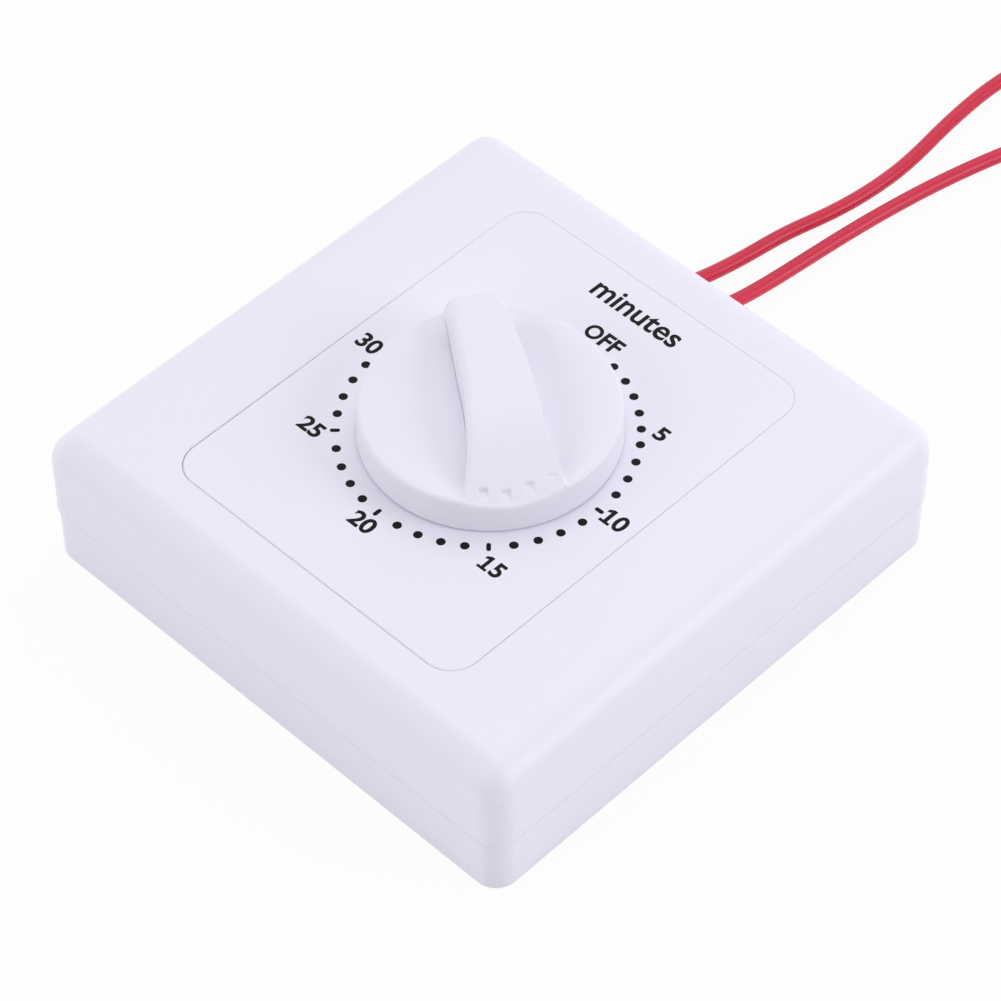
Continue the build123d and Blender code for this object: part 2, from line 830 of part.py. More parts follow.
def make_grip():
    """Bar across the knob: level to the bend, then sloping and widening to the rim at the nose."""
    bottom = rim_top - grip_sink
    end = knob_radius + overrun
    end_top = grip_top - nose_slope() * (end - grip_bend)
    tail = loft([
        grip_section(-knob_radius, grip_tail_base, grip_tail_top, bottom, grip_top),
        grip_section(grip_bend, grip_bend_base, grip_bend_top, bottom, grip_top),
    ], ruled=True)
    nose = loft([
        grip_section(grip_bend, grip_bend_base, grip_bend_top, bottom, grip_top),
        grip_section(end, grip_toe_base, grip_toe_top, bottom, end_top),
    ], ruled=True)
    return (tail + nose) & disc(knob_top_radius - knob_rim_round / 2, bottom, grip_top + overrun)


def make_nose_clearance():
    """Everything above the nose's slope, which runs out a little below the rim."""
    end = knob_radius + overrun
    end_top = grip_top - nose_slope() * (end - grip_bend)
    return loft([
        grip_section(grip_bend, grip_bend_top, grip_bend_top, grip_top, grip_top + overrun),
        grip_section(end, grip_toe_top, grip_toe_top, end_top, grip_top + overrun),
    ], ruled=True)


def make_toe_marks():
    """Notches with level floors that run out of the sloping nose."""
    marks = []
    for mark in range(toe_marks):
        turn = toe_mark_middle + (mark - (toe_marks - 1) / 2) * toe_mark_step
        place = polar((0, 0), toe_mark_radius, turn)
        front = place[0] + toe_mark_length / 2
        floor_z = grip_top - nose_slope() * (front - grip_bend) - toe_mark_depth
        marks.append(slab(toe_mark_length, toe_mark_width, floor_z, grip_top + overrun, place))
    return marks


def make_knob():
    skirt = Pos(0, 0, knob_bottom) * Cone(knob_radius, knob_top_radius, knob_rim_height, align=base)
    skirt = fillet(skirt.edges().group_by(Axis.Z)[-1], knob_rim_round)
    grip = make_grip()
    top_edges = [
        edge for edge in grip.edges()
        if edge.center().Z > rim_top + overrun and abs(edge.center().X - grip_bend) > overrun
    ]
    grip = fillet(top_edges, grip_round)
    knob = skirt - make_nose_clearance() + grip
    knob -= disc(knob_radius - knob_skirt_wall, knob_bottom - overrun, rim_top - knob_top_wall)
    knob += disc(hub_radius, knob_bottom - hub_drop, rim_top - grip_sink)
    bore = disc(shaft_radius + knob_fit_gap, knob_bottom - hub_drop - overrun, grip_top - bore_end_wall)
    flat_x = -shaft_radius * shaft_flat_share - clip_thickness
    bore -= span(
        -shaft_radius * 2, flat_x, -shaft_radius * 2, shaft_radius * 2,
        knob_bottom - hub_drop - overrun, grip_top,
    )
    knob -= bore
    for mark in make_toe_marks():
        knob -= mark
    return at_rest(knob)


def make_knob_clip():
    flat_x = -shaft_radius * shaft_flat_share
    clip = span(
        flat_x - clip_thickness, flat_x, -clip_width / 2, clip_width / 2,
        shaft_top - clip_length - overrun, shaft_top - overrun,
    )
    return at_rest(clip)


# Switch

def make_contact_block():
    block = span(-block_half_width, block_half_width, block_front, block_back, block_bottom, movement_under)
    block += span(
        -block_half_width, arm_pivot_x + foot_width / 2, ledge_front, block_front,
        movement_under - ledge_thickness, movement_under,
    )
    block += span(
        block_half_width - foot_width, block_half_width, strip_face(), block_front,
        block_bottom, movement_under,
    )
    block -= disc(arm_pivot_radius, block_bottom, movement_under + overrun, (arm_pivot_x, arm_line))
    for place in block_screw_places:
        block -= disc(block_screw_radius, block_bottom - overrun, movement_under + overrun, place)
    return block - rivet_form(0)


def make_block_screws():
    screws = []
    for place in block_screw_places:
        screw = disc(block_screw_radius, block_bottom, back_plate_top, place)
        head = disc(block_screw_head_radius, block_bottom - block_screw_head_height, block_bottom, place)
        screws.append(screw + head)
    return Compound(children=screws)


def make_contact_pivot():
    return disc(arm_pivot_radius, block_bottom, movement_under, (arm_pivot_x, arm_line))


def arm_face():
    return arm_line - arm_thickness / 2


def strip_face():
    """Face of the fixed strip that the right foot carries, two contacts in front of the arm."""
    return arm_face() - 2 * contact_height


def make_contact_arm():
    """Strip with an eye round its pin and a bump over the cam."""
    top = arm_bottom + arm_width
    eye_inner = arm_pivot_radius + running_gap
    pivot = (arm_pivot_x, arm_line)
    arm = disc(eye_inner + arm_eye_wall, arm_bottom, top, pivot)
    arm += span(arm_pivot_x, arm_tip, arm_face(), arm_face() + arm_thickness, arm_bottom, top)
    bump = disc(follower_radius, arm_bottom, top, (0, follower_reach + follower_radius))
    arm += bump & span(-follower_radius, follower_radius, follower_reach, arm_line, arm_bottom, top)
    return arm - disc(eye_inner, arm_bottom - overrun, top + overrun, pivot)


def contact_disc(near_y, far_y, radius, x, z):
    length = far_y - near_y
    return Pos(x, (near_y + far_y) / 2, z) * Rot(90, 0, 0) * Cylinder(radius, length)


def make_moving_contact():
    z = arm_bottom + arm_width / 2
    return contact_disc(arm_face() - contact_height, arm_face(), contact_radius, contact_x, z)


def make_fixed_contact():
    z = arm_bottom + arm_width / 2
    return contact_disc(strip_face(), arm_face() - contact_height, contact_radius, contact_x, z)


def make_fixed_strip():
    top = arm_bottom + arm_width
    near = strip_face() - arm_thickness
    strip = span(contact_x - contact_radius, block_half_width, near, strip_face(), block_bottom, top)
    return strip - rivet_form(0)


def rivet_form(head_share):
    """Rivet through the strip and the foot; head_share of 0 gives only its shank."""
    x = block_half_width - foot_width / 2
    z = arm_bottom + arm_width / 2
    near = strip_face() - arm_thickness
    far = strip_face() + foot_width
    form = contact_disc(near, far, contact_rivet_radius, x, z)
    if head_share:
        form += contact_disc(
            near - contact_rivet_head_height * head_share, near, contact_rivet_head_radius, x, z
        )
    return form


def make_contact_rivet():
    return rivet_form(1)


def make_supply_lug():
    """Flat tag from under the pivot pin to past the block."""
    x0 = supply_lead_x - lug_width / 2
    near = arm_line - lug_width / 2
    return span(x0, x0 + lug_width, near, lug_reach, block_bottom - lug_thickness, block_bottom)


def make_load_lug():
    """Flat tag from under the fixed strip, along the block and out beside the other tag."""
    bottom = block_bottom - lug_thickness
    bus_front = block_front + bus_inset
    strip_near = strip_face() - arm_thickness
    lug = span(
        block_half_width - bus_width, block_half_width, strip_near, bus_front + bus_width,
        bottom, block_bottom,
    )
    lug += span(
        load_lead_x - lug_width / 2, block_half_width, bus_front, bus_front + bus_width, bottom, block_bottom
    )
    lug += span(
        load_lead_x - lug_width / 2, load_lead_x + lug_width / 2, bus_front, lug_reach, bottom, block_bottom
    )
    return lug


# Leads

def lead_path(route):
    """Straight runs joined by arcs as large as the runs allow."""
    radii = []
    for before, here, after in zip(route, route[1:], route[2:]):
        incoming = Vector(*here) - Vector(*before)
        outgoing = Vector(*after) - Vector(*here)
        turn = incoming.get_angle(outgoing)
        run = lead_arc_share * min(incoming.length, outgoing.length)
        radii.append(run / tan(radians(turn) / 2))
    return FilletPolyline(*route, radius=radii), radii


def make_lead(route):
    path, radii = lead_path(route)
    section = Plane(origin=path @ 0, z_dir=path % 0) * Circle(lead_radius)
    lead = sweep(section, path=path)
    straight = path.length * pi * lead_radius ** 2
    print("lead length", round(path.length, 1), "section times length", round(straight, 1))
    print("lead volume", round(lead.volume, 1), "arc radii", [round(radius, 1) for radius in radii])
    return lead


def make_lead_core(route):
    """Bare wire at both ends: in over the solder tag, and out past the end of the cover."""
    path, _ = lead_path(route)
    root = Plane(origin=path @ 0, z_dir=path % 0)
    inner = extrude(root * Circle(core_radius), -core_inner_run)
    tip = Plane(origin=path @ 1, z_dir=path % 1)
    outer = extrude(tip * Circle(core_radius), core_bare_run)
    return Compound(children=[inner, outer])


def export(shape, name):
    export_step(shape, f"parts/{name}.step")


os.makedirs("parts", exist_ok=True)
export(make_front_cover(), "front_cover")
export(make_face_panel(), "face_panel")
export(make_back_box(), "back_box")
export(make_cover_screws(), "cover_screws")
export(make_lead_clamp(), "lead_clamp")
export(make_clamp_screws(), "clamp_screws")
export(make_front_plate(), "front_plate")
export(make_back_plate(), "back_plate")
export(make_plate_pillars(), "plate_pillars")
export(make_arbor_bush(), "arbor_bush")
export(make_stop_pins(), "stop_pins")
export(make_movement_screws(), "movement_screws")
export(make_mainspring(), "mainspring")
export(make_spring_post(), "spring_post")
export(make_main_arbor(), "main_arbor")
export(make_great_wheel(), "great_wheel")
export(make_friction_washer(), "friction_washer")
export(make_wheel_clip(), "wheel_clip")
export(make_stop_washer(), "stop_washer")
export(make_switch_cam(), "switch_cam")
export(make_knob(), "knob")
export(make_knob_clip(), "knob_clip")
export(make_second_arbor(), "second_arbor")
export(make_second_wheel(), "second_wheel")
export(make_third_arbor(), "third_arbor")
export(make_third_wheel(), "third_wheel")
export(make_escape_arbor(), "escape_arbor")
export(make_escape_wheel(), "escape_wheel")
export(make_pallet_arbor(), "pallet_arbor")
export(make_pallet_lever(), "pallet_lever")
export(make_contact_block(), "contact_block")
export(make_block_screws(), "block_screws")
export(make_contact_pivot(), "contact_pivot")
export(make_contact_arm(), "contact_arm")
export(make_moving_contact(), "moving_contact")
export(make_fixed_contact(), "fixed_contact")
export(make_fixed_strip(), "fixed_strip")
export(make_contact_rivet(), "contact_rivet")
export(make_supply_lug(), "supply_lug")
export(make_load_lug(), "load_lug")
export(make_lead(supply_route), "supply_lead")
export(make_lead(load_route), "load_lead")
export(make_lead_core(supply_route), "supply_lead_core")
export(make_lead_core(load_route), "load_lead_core")

print("knob angle", round(knob_angle, 2))
print("to off", round(turn_to_off, 2), "to full", round(-turn_to_full, 2))
print("second arbor at", second_place, "third", third_place)
print("escape arbor at", escape_place, "pallet", pallet_place)
print("contact pivot at", arm_pivot_x, arm_line)
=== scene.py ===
import math

import bmesh
import bpy
import numpy as np
from mathutils import Matrix, Vector


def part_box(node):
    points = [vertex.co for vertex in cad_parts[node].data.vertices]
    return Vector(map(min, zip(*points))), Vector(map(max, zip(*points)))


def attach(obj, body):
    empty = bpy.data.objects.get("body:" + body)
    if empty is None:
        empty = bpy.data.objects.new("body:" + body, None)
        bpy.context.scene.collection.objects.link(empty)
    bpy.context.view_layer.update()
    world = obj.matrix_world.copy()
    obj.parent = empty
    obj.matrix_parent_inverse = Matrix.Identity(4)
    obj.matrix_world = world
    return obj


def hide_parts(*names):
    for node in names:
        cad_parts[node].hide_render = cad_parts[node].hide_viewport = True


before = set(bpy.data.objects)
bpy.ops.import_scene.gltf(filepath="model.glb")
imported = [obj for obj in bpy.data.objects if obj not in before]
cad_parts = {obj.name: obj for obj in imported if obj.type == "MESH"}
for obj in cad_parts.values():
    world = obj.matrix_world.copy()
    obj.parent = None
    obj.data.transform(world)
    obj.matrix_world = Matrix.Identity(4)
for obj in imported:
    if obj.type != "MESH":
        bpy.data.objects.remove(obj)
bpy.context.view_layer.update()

# All lengths below are in millimetres and are turned to metres by MM. Angles are in degrees.
MM = 0.001

# Camera, as the photo was taken
CAMERA_PLACE = (260.57, -260.55, 433.98)
CAMERA_BEARING = 44.81
CAMERA_ELEVATION = 49.13
CAMERA_ROLL = -0.62
CAMERA_LENS = 147.7
CAMERA_SENSOR = 36.0
CAMERA_REACH = 100.0

# Routes of the leads, the same points as the solid tubes have
SUPPLY_ROUTE = [
    (-12.2, 22.6, 3.9), (-12.2, 30.8, 5.0), (-12.2, 47.0, 5.0), (-11.6, 55.0, 2.3),
    (-10.8, 63.0, 1.1), (-9.7, 71.5, 1.1), (-7.4, 80.0, 1.1), (-6.3, 88.0, 1.1),
    (-6.2, 96.0, 1.1), (-7.6, 107.0, 1.1), (-8.0, 119.0, 1.1), (-5.5, 132.0, 1.1),
    (-1.5, 146.0, 1.1), (0.5, 160.0, 1.1), (-1.0, 174.0, 1.1), (-5.5, 187.0, 1.1),
]
LOAD_ROUTE = [
    (-5.3, 22.6, 3.9), (-5.3, 30.8, 5.0), (-5.3, 47.0, 5.0), (-4.9, 55.0, 2.3),
    (-4.6, 62.5, 1.1), (-3.8, 70.5, 1.1), (-2.9, 79.0, 1.1), (-1.7, 87.5, 1.1),
    (0.1, 97.0, 1.1), (3.0, 108.0, 1.1), (7.2, 119.0, 1.1), (11.5, 131.0, 1.1),
    (13.5, 145.0, 1.1), (12.0, 158.0, 1.1), (13.5, 171.0, 1.1), (19.0, 184.0, 1.1),
]
LEAD_RADIUS = 1.1
LEAD_STEPS = 24
LEAD_ROUNDNESS = 14
# Die lines of the sleeve: how many noise waves lie across it and along it
DIE_LINES = (1.6, 1.6, 5.0)
CASE_HALF = 43.0

# Joint round the panel: its floor lies deeper on the two near sides
PANEL_CORNER = 4.4
JOINT_WIDTH = 0.12
JOINT_CLEARANCE = 0.01
JOINT_TUCK = 0.2
JOINT_THICKNESS = 0.2
JOINT_DEPTH_FAR = 0.07
JOINT_DEPTH_NEAR = 0.5
JOINT_FADE = (-12.0, 18.0)

# Flash where the cover meets the box
CASE_CORNER = 3.4
FLASH_HEIGHT = 0.14
FLASH_REACH = 0.06
FLASH_DEPTH = 0.3
CORNER_STEPS = 10

# Dial print
PRINT_CENTRE = (-0.26, -0.20)
PRINT_THICKNESS = 0.03
DOT_CIRCLE = 20.6
DOT_RADIUS = 0.64
DOT_SIDES = 28
DIAL_SWEEP = 270.0
# How far each minute's mark, from 1 to 29, stands off its even place, anticlockwise in degrees
MARK_DRIFT = (
    -2.8, -2.5, -1.9, -1.5, -0.6, 0.6, 0.8, 0.85, 0.9, 0.0, 0.6, 0.15, 0.1, -0.1, -0.35,
    -0.1, -0.1, -0.2, -0.15, -0.9, -0.6, -0.4, -0.35, -0.7, -0.9, -0.3, -0.2, -0.4, -0.5,
)
TICK_MINUTES = (10, 15, 20, 25)
TICK_LENGTH = 1.4
TICK_WIDTH = 0.62
TICK_SIDES = 26
# How much each outline is thickened, the share of a letter's size that a capital takes up,
# and how close two points of an outline lie that are one
NUMERAL_SWELL = 0.11
UNIT_SWELL = 0.08
CAPITAL_SHARE = 0.73
LETTER_MERGE = 0.0001
# What is printed, where its middle lies from the middle of the dial, and its width and height
NUMERALS = [
    ("O", -2.12, 23.01, 2.56, 2.70), ("FF", 1.13, 22.96, 3.34, 2.76), ("5", 17.32, 15.62, 1.79, 2.48),
    ("1", 22.33, 0.14, 1.72, 2.72), ("0", 24.27, 0.19, 1.88, 2.82), ("1", 16.26, -16.78, 1.60, 2.57),
    ("5", 18.18, -16.75, 1.63, 2.62), ("20", -0.47, -23.12, 3.89, 2.70), ("25", -17.54, -16.07, 3.72, 2.61),
    ("30", -22.79, 0.07, 3.67, 2.78),
]
UNIT = [("minutes", -0.25, 29.7, 15.6, 3.45)]
# Outline of a 1 with a flag and a foot, which the built-in letters don't have
FIGURE_ONE = [
    (-0.83, 0.0), (0.78, 0.0), (0.78, 0.44), (0.27, 0.44), (0.27, 2.65), (-0.22, 2.65), (-0.83, 2.25),
    (-0.83, 1.80), (-0.27, 2.0), (-0.27, 0.44), (-0.83, 0.44),
]

# Knob, with t along the grip bar towards its nose and s across it
KNOB_ANGLE = -36.27
KNOB_BASE_RADIUS = 18.05
KNOB_TOP_RADIUS = 17.85
KNOB_BOTTOM = 22.8
KNOB_RIM = 27.8
KNOB_RIM_ROUND = 0.6
GRIP_END_ROUND = 1.0
END_ROUND_MARGIN = 1.0
KNOB_FOOT_ROUND = 0.1
KNOB_INNER_RADIUS = 16.3
KNOB_CEILING = 25.75
HUB_RADIUS = 5.0
HUB_BOTTOM = 21.05
BORE_RADIUS = 3.05
BORE_TOP = 30.4
# Both halves of the face dip towards the grip, to make room for the fingers
DISH_DEPTH = 1.0
DISH_FROM_SHARE = 0.1
DISH_FADE_FROM = 11.0
DISH_FADE_TO = 15.2
FAR_RISE = 0.5
FAR_RISE_FROM = 4.0
FAR_RISE_TO = 13.0
GRIP_TOP = 31.6
GRIP_BEND = 6.4
GRIP_BEND_SOFTNESS = 0.8
GRIP_NOSE_SLOPE = 0.30
GRIP_TOE = 17.6
GRIP_TOE_HEIGHT = 27.0
# Round of the top edges, on the left and on the right
GRIP_EDGE_ROUNDS = (1.0, 0.2)
GRIP_ROUND_SHARE = 0.6
GRIP_END_DIP = 0.3
GRIP_DIP_FROM = 12.5
GRIP_DIP_TO = 17.0
# Sides of the grip on the left and on the right, at its foot and at its top edge, at places along it
GRIP_STATIONS = (-17.6, -15.0, -12.5, -6.5, -2.5, 1.5, 5.8, 8.6, 12.2, 14.3, 16.0, 17.9)
GRIP_LEFT_FOOT = (-3.7, -3.6, -3.6, -3.6, -3.6, -3.65, -4.1, -4.35, -5.3, -5.85, -6.2, -6.5)
GRIP_LEFT_TOP = (-2.5, -2.95, -3.1, -3.15, -3.25, -3.5, -4.0, -4.3, -5.25, -5.8, -6.15, -6.45)
GRIP_RIGHT_FOOT = (4.4, 4.75, 5.0, 5.6, 5.95, 6.15, 6.25, 6.4, 6.95, 7.55, 8.0, 8.45)
GRIP_RIGHT_TOP = (3.2, 4.3, 4.8, 5.4, 5.75, 5.95, 6.05, 6.2, 6.75, 7.25, 7.45, 7.6)
GRIP_SMOOTHING = (-1.6, -0.8, 0.0, 0.8, 1.6)
# Crease at the left foot of the grip, which fades out towards the nose and at the far end
CREASE_DEPTH = 0.16
CREASE_FADE = (1.0, 4.0)
CREASE_END = (14.5, 16.4)
# Notches in the toe: where the uphill wall of each stands, its middle across, and its depth
TOE_MARKS = [(14.8, -3.4, 0.55), (15.4, -0.5, 0.45), (14.8, 2.7, 0.4), (14.2, 5.8, 0.15)]
TOE_MARK_WIDTH = 1.35
TOE_MARK_LENGTH = 1.8
TOE_MARK_EDGE = 0.16
KNOB_ROWS = 260
GRIP_TOP_COLUMNS = 80
GRIP_WALL_COLUMNS = 6
GRIP_ROUND_COLUMNS = 8
DISC_COLUMNS = 26
RIM_STEPS = 8
SKIRT_ROWS = 6
FOOT_TURNS = (30, 60, 90)
# Passes that settle where a row meets the grip's foot, and how rows and columns crowd at the edges
FOOT_PASSES = 6
ROW_CROWDING = 0.35
DISC_CROWDING = 1.6
SMALLEST_WALL = 0.001
SMALLEST_RISE = 0.01
KNOB_MERGE = 0.004
KNOB_SLIVER = 0.002
KNOB_SHARP = 50.0

FLOOR_HALF = 3000.0
# Soft light from all round, a little dimmer from the side where the picture is taken
WORLD_BRIGHT_SIDE = (-0.7071, 0.7071, 0.0)
WORLD_DIM = 0.26
WORLD_BRIGHT = 1.06
FLOOR_SEEN_SHARE = 0.93
PAPER_PATCH = 60.0
STUDIO_WHITE = "#fbfaff"
# Lamps: where each stands, what it points at, its width and its power
LAMPS = [
    ("overhead_softbox", (30, 0, 900), (0, 0, 0), 480, 0.46),
    ("back_softbox", (-150, 500, 700), (0, 0, 0), 480, 0.7),
    ("right_softbox", (650, 350, 350), (0, 0, 10), 420, 2.0),
    ("left_softbox", (-350, -650, 350), (0, 0, 10), 420, 0.87),
    ("near_softbox", (0, -700, 420), (0, 0, 10), 420, 0.72),
]

# Breadth of the slow marks in the plastics, the ink and the metals
FLOW_MARK = 24.0
INK_PATCH = 0.5
METAL_CLOUD = 6.0


def linear(code):
    """Linear colour from an sRGB hex code."""
    channels = [int(code[i:i + 2], 16) / 255 for i in (1, 3, 5)]
    return tuple(c / 12.92 if c <= 0.04045 else ((c + 0.055) / 1.055) ** 2.4 for c in channels) + (1.0,)


def place(point):
    return Vector(point) * MM


def add_node(tree, kind, inputs=None, **settings):
    """New node with its settings; inputs holds a value or an output socket for each named input."""
    made = tree.nodes.new(kind)
    for name, value in settings.items():
        setattr(made, name, value)
    for name, value in (inputs or {}).items():
        if isinstance(value, bpy.types.NodeSocket):
            tree.links.new(value, made.inputs[name])
        else:
            made.inputs[name].default_value = value
    return made


# Materials

def new_material(name):
    """Empty node tree with its Principled shader."""
    material = bpy.data.materials.new(name)
    material.use_nodes = True
    tree = material.node_tree
    tree.nodes.clear()
    shader = add_node(tree, "ShaderNodeBsdfPrincipled")
    output = add_node(tree, "ShaderNodeOutputMaterial")
    tree.links.new(shader.outputs["BSDF"], output.inputs["Surface"])
    coordinates = add_node(tree, "ShaderNodeTexCoord")
    return material, tree, shader, coordinates.outputs["Object"]


def mix_colours(tree, factor, first, second):
    mixed = add_node(tree, "ShaderNodeMix", data_type="RGBA")
    tree.links.new(factor, mixed.inputs["Factor"])
    mixed.inputs[6].default_value = first
    mixed.inputs[7].default_value = second
    return mixed.outputs[2]


def noise(tree, where, size_mm, detail=2.0, roughness=0.5):
    """Noise whose blotches are about size_mm across."""
    made = add_node(
        tree, "ShaderNodeTexNoise",
        {"Vector": where, "Scale": 1 / (size_mm * MM), "Detail": detail, "Roughness": roughness},
    )
    return made.outputs["Fac"]


def spread(tree, value, low, high, low_to, high_to):
    made = add_node(
        tree, "ShaderNodeMapRange",
        {"Value": value, "From Min": low, "From Max": high, "To Min": low_to, "To Max": high_to},
    )
    return made.outputs["Result"]


def bump(tree, shader, height, distance_mm, strength):
    made = add_node(
        tree, "ShaderNodeBump", {"Height": height, "Distance": distance_mm * MM, "Strength": strength}
    )
    tree.links.new(made.outputs["Normal"], shader.inputs["Normal"])


def moulded_plastic(name, pale, shaded, gloss, grain_mm, grain_depth_mm):
    """Thermoplastic moulded in a spark-eroded tool: satin, with a very fine even grain and slow
    flow marks."""
    material, tree, shader, where = new_material(name)
    flow = noise(tree, where, FLOW_MARK)
    tint = mix_colours(tree, flow, linear(pale), linear(shaded))
    tree.links.new(tint, shader.inputs["Base Color"])
    grain = noise(tree, where, grain_mm, 3.0, 0.6)
    tree.links.new(spread(tree, grain, 0.3, 0.7, gloss - 0.05, gloss + 0.06), shader.inputs["Roughness"])
    shader.inputs["IOR"].default_value = 1.5
    shader.inputs["Specular IOR Level"].default_value = 0.4
    bump(tree, shader, grain, grain_depth_mm, 0.35)
    return material


def dial_ink(name):
    """Pad-printed black ink: matt, a little uneven where the pad lifted."""
    material, tree, shader, where = new_material(name)
    shader.inputs["Specular IOR Level"].default_value = 0.15
    cover = noise(tree, where, INK_PATCH, 3.0, 0.6)
    tint = mix_colours(tree, cover, linear("#060609"), linear("#111116"))
    tree.links.new(tint, shader.inputs["Base Color"])
    tree.links.new(spread(tree, cover, 0.3, 0.7, 0.45, 0.62), shader.inputs["Roughness"])
    bump(tree, shader, cover, 0.01, 0.3)
    return material


def red_insulation(name):
    """Extruded PVC sleeve: a soft gloss, with faint die lines along it and a softer, deeper red inside."""
    material, tree, shader, _ = new_material(name)
    sleeve = add_node(tree, "ShaderNodeTexCoord").outputs["UV"]
    parts = add_node(tree, "ShaderNodeSeparateXYZ", {"Vector": sleeve}).outputs
    turn = add_node(tree, "ShaderNodeMath", {0: parts["X"], 1: math.tau}, operation="MULTIPLY").outputs[0]
    # U runs round the sleeve and V along it, so the noise is read on a circle and has no seam
    circle = {
        axis: add_node(tree, "ShaderNodeMath", {0: turn}, operation=wave).outputs[0]
        for axis, wave in (("X", "COSINE"), ("Y", "SINE"))
    }
    drawn = add_node(tree, "ShaderNodeCombineXYZ", {**circle, "Z": parts["Y"]}).outputs["Vector"]
    stretched = add_node(tree, "ShaderNodeMapping", {"Vector": drawn, "Scale": DIE_LINES}).outputs["Vector"]
    lines = add_node(
        tree, "ShaderNodeTexNoise", {"Vector": stretched, "Scale": 1.0, "Detail": 2.0, "Roughness": 0.5}
    ).outputs["Fac"]
    tint = mix_colours(tree, lines, linear("#d62b49"), linear("#ca2341"))
    tree.links.new(tint, shader.inputs["Base Color"])
    tree.links.new(spread(tree, lines, 0.3, 0.7, 0.3, 0.36), shader.inputs["Roughness"])
    shader.inputs["IOR"].default_value = 1.53
    shader.inputs["Specular IOR Level"].default_value = 0.3
    shader.inputs["Subsurface Weight"].default_value = 0.08
    shader.inputs["Subsurface Radius"].default_value = (0.001, 0.0003, 0.0002)
    bump(tree, shader, lines, 0.004, 0.2)
    return material


def sheet_metal(name, bright, dark, rough, mark_mm, mark_depth_mm, stretch=(1.0, 1.0, 1.0)):
    """Metal part with the marks of how it was made: stretch draws them out along an axis."""
    material, tree, shader, where = new_material(name)
    drawn = add_node(tree, "ShaderNodeMapping", {"Vector": where, "Scale": stretch}).outputs["Vector"]
    marks = noise(tree, drawn, mark_mm, 4.0, 0.6)
    clouds = noise(tree, where, METAL_CLOUD)
    tint = mix_colours(tree, clouds, linear(bright), linear(dark))
    tree.links.new(tint, shader.inputs["Base Color"])
    shader.inputs["Metallic"].default_value = 1.0
    tree.links.new(spread(tree, marks, 0.3, 0.7, rough - 0.08, rough + 0.1), shader.inputs["Roughness"])
    bump(tree, shader, marks, mark_depth_mm, 0.4)
    return material


def inner_plastic(name, pale, dark, gloss, fleck_mm):
    """Working plastic inside the case: nylon or phenolic, mottled right through."""
    material, tree, shader, where = new_material(name)
    flecks = noise(tree, where, fleck_mm, 4.0, 0.7)
    tint = mix_colours(tree, flecks, linear(pale), linear(dark))
    tree.links.new(tint, shader.inputs["Base Color"])
    tree.links.new(spread(tree, flecks, 0.3, 0.7, gloss - 0.06, gloss + 0.08), shader.inputs["Roughness"])
    bump(tree, shader, flecks, 0.02, 0.3)
    return material


case_abs = moulded_plastic("white_ABS_case", "#eeedf6", "#ecebf5", 0.42, 0.35, 0.012)
panel_abs = moulded_plastic("white_ABS_panel", "#eeedf6", "#ecebf5", 0.44, 0.30, 0.010)
knob_abs = moulded_plastic("white_ABS_knob", "#edecf4", "#ebeaf3", 0.40, 0.40, 0.012)
ink = dial_ink("black_pad_printing_ink")
red_pvc = red_insulation("red_PVC_insulation")
zinc_steel = sheet_metal("zinc_plated_steel", "#c9ccd0", "#b4b9c0", 0.32, 0.5, 0.01)
turned_steel = sheet_metal("turned_bright_steel", "#c4c5c7", "#a9abae", 0.26, 0.6, 0.01, (1.0, 1.0, 8.0))
blued_steel = sheet_metal("blued_spring_steel", "#6c7486", "#4a5163", 0.34, 0.5, 0.01, (1.0, 1.0, 6.0))
stamped_brass = sheet_metal("stamped_brass_sheet", "#d9b868", "#c39f52", 0.30, 0.4, 0.012, (1.0, 6.0, 1.0))
bronze_strip = sheet_metal("phosphor_bronze_strip", "#cf9a70", "#b8805a", 0.33, 0.4, 0.01, (5.0, 1.0, 1.0))
contact_silver = sheet_metal("fine_silver_contact", "#e3e1da", "#cfccc4", 0.3, 0.3, 0.01)
tinned_copper = sheet_metal("tinned_copper_wire", "#cfcfcd", "#b7b4ae", 0.33, 0.4, 0.012)
natural_nylon = inner_plastic("natural_nylon", "#e6e1d2", "#dcd6c5", 0.42, 2.0)
brown_phenolic = inner_plastic("brown_phenolic_moulding", "#4a2a1a", "#341c11", 0.4, 0.7)

CAD_FINISHES = {
    case_abs: ["front_cover", "back_box"],
    panel_abs: ["face_panel"],
    knob_abs: ["knob"],
    zinc_steel: ["cover_screws", "clamp_screws", "movement_screws", "block_screws", "stop_washer"],
    turned_steel: [
        "plate_pillars", "stop_pins", "spring_post", "main_arbor", "wheel_clip", "second_arbor",
        "third_arbor", "escape_arbor", "pallet_arbor", "pallet_lever", "contact_pivot",
    ],
    blued_steel: ["mainspring", "knob_clip"],
    stamped_brass: [
        "front_plate", "back_plate", "arbor_bush", "great_wheel", "second_wheel", "third_wheel",
        "escape_wheel", "contact_rivet", "supply_lug", "load_lug",
    ],
    bronze_strip: ["friction_washer", "contact_arm", "fixed_strip"],
    contact_silver: ["moving_contact", "fixed_contact"],
    tinned_copper: ["supply_lead_core", "load_lead_core"],
    natural_nylon: ["lead_clamp", "switch_cam"],
    brown_phenolic: ["contact_block"],
    red_pvc: ["supply_lead", "load_lead"],
}

for finish, names in CAD_FINISHES.items():
    for name in names:
        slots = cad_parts[name].data.materials
        slots.clear()
        slots.append(finish)


# Camera first, then the leads

def look_frame():
    """Camera axes from its bearing, elevation and roll."""
    bearing = math.radians(CAMERA_BEARING)
    rise = math.radians(CAMERA_ELEVATION)
    roll = math.radians(CAMERA_ROLL)
    back = Vector((math.sin(bearing) * math.cos(rise), -math.cos(bearing) * math.cos(rise), math.sin(rise)))
    level = Vector((math.cos(bearing), math.sin(bearing), 0))
    upright = back.cross(level)
    right = level * math.cos(roll) + upright * math.sin(roll)
    return right, back.cross(right), back


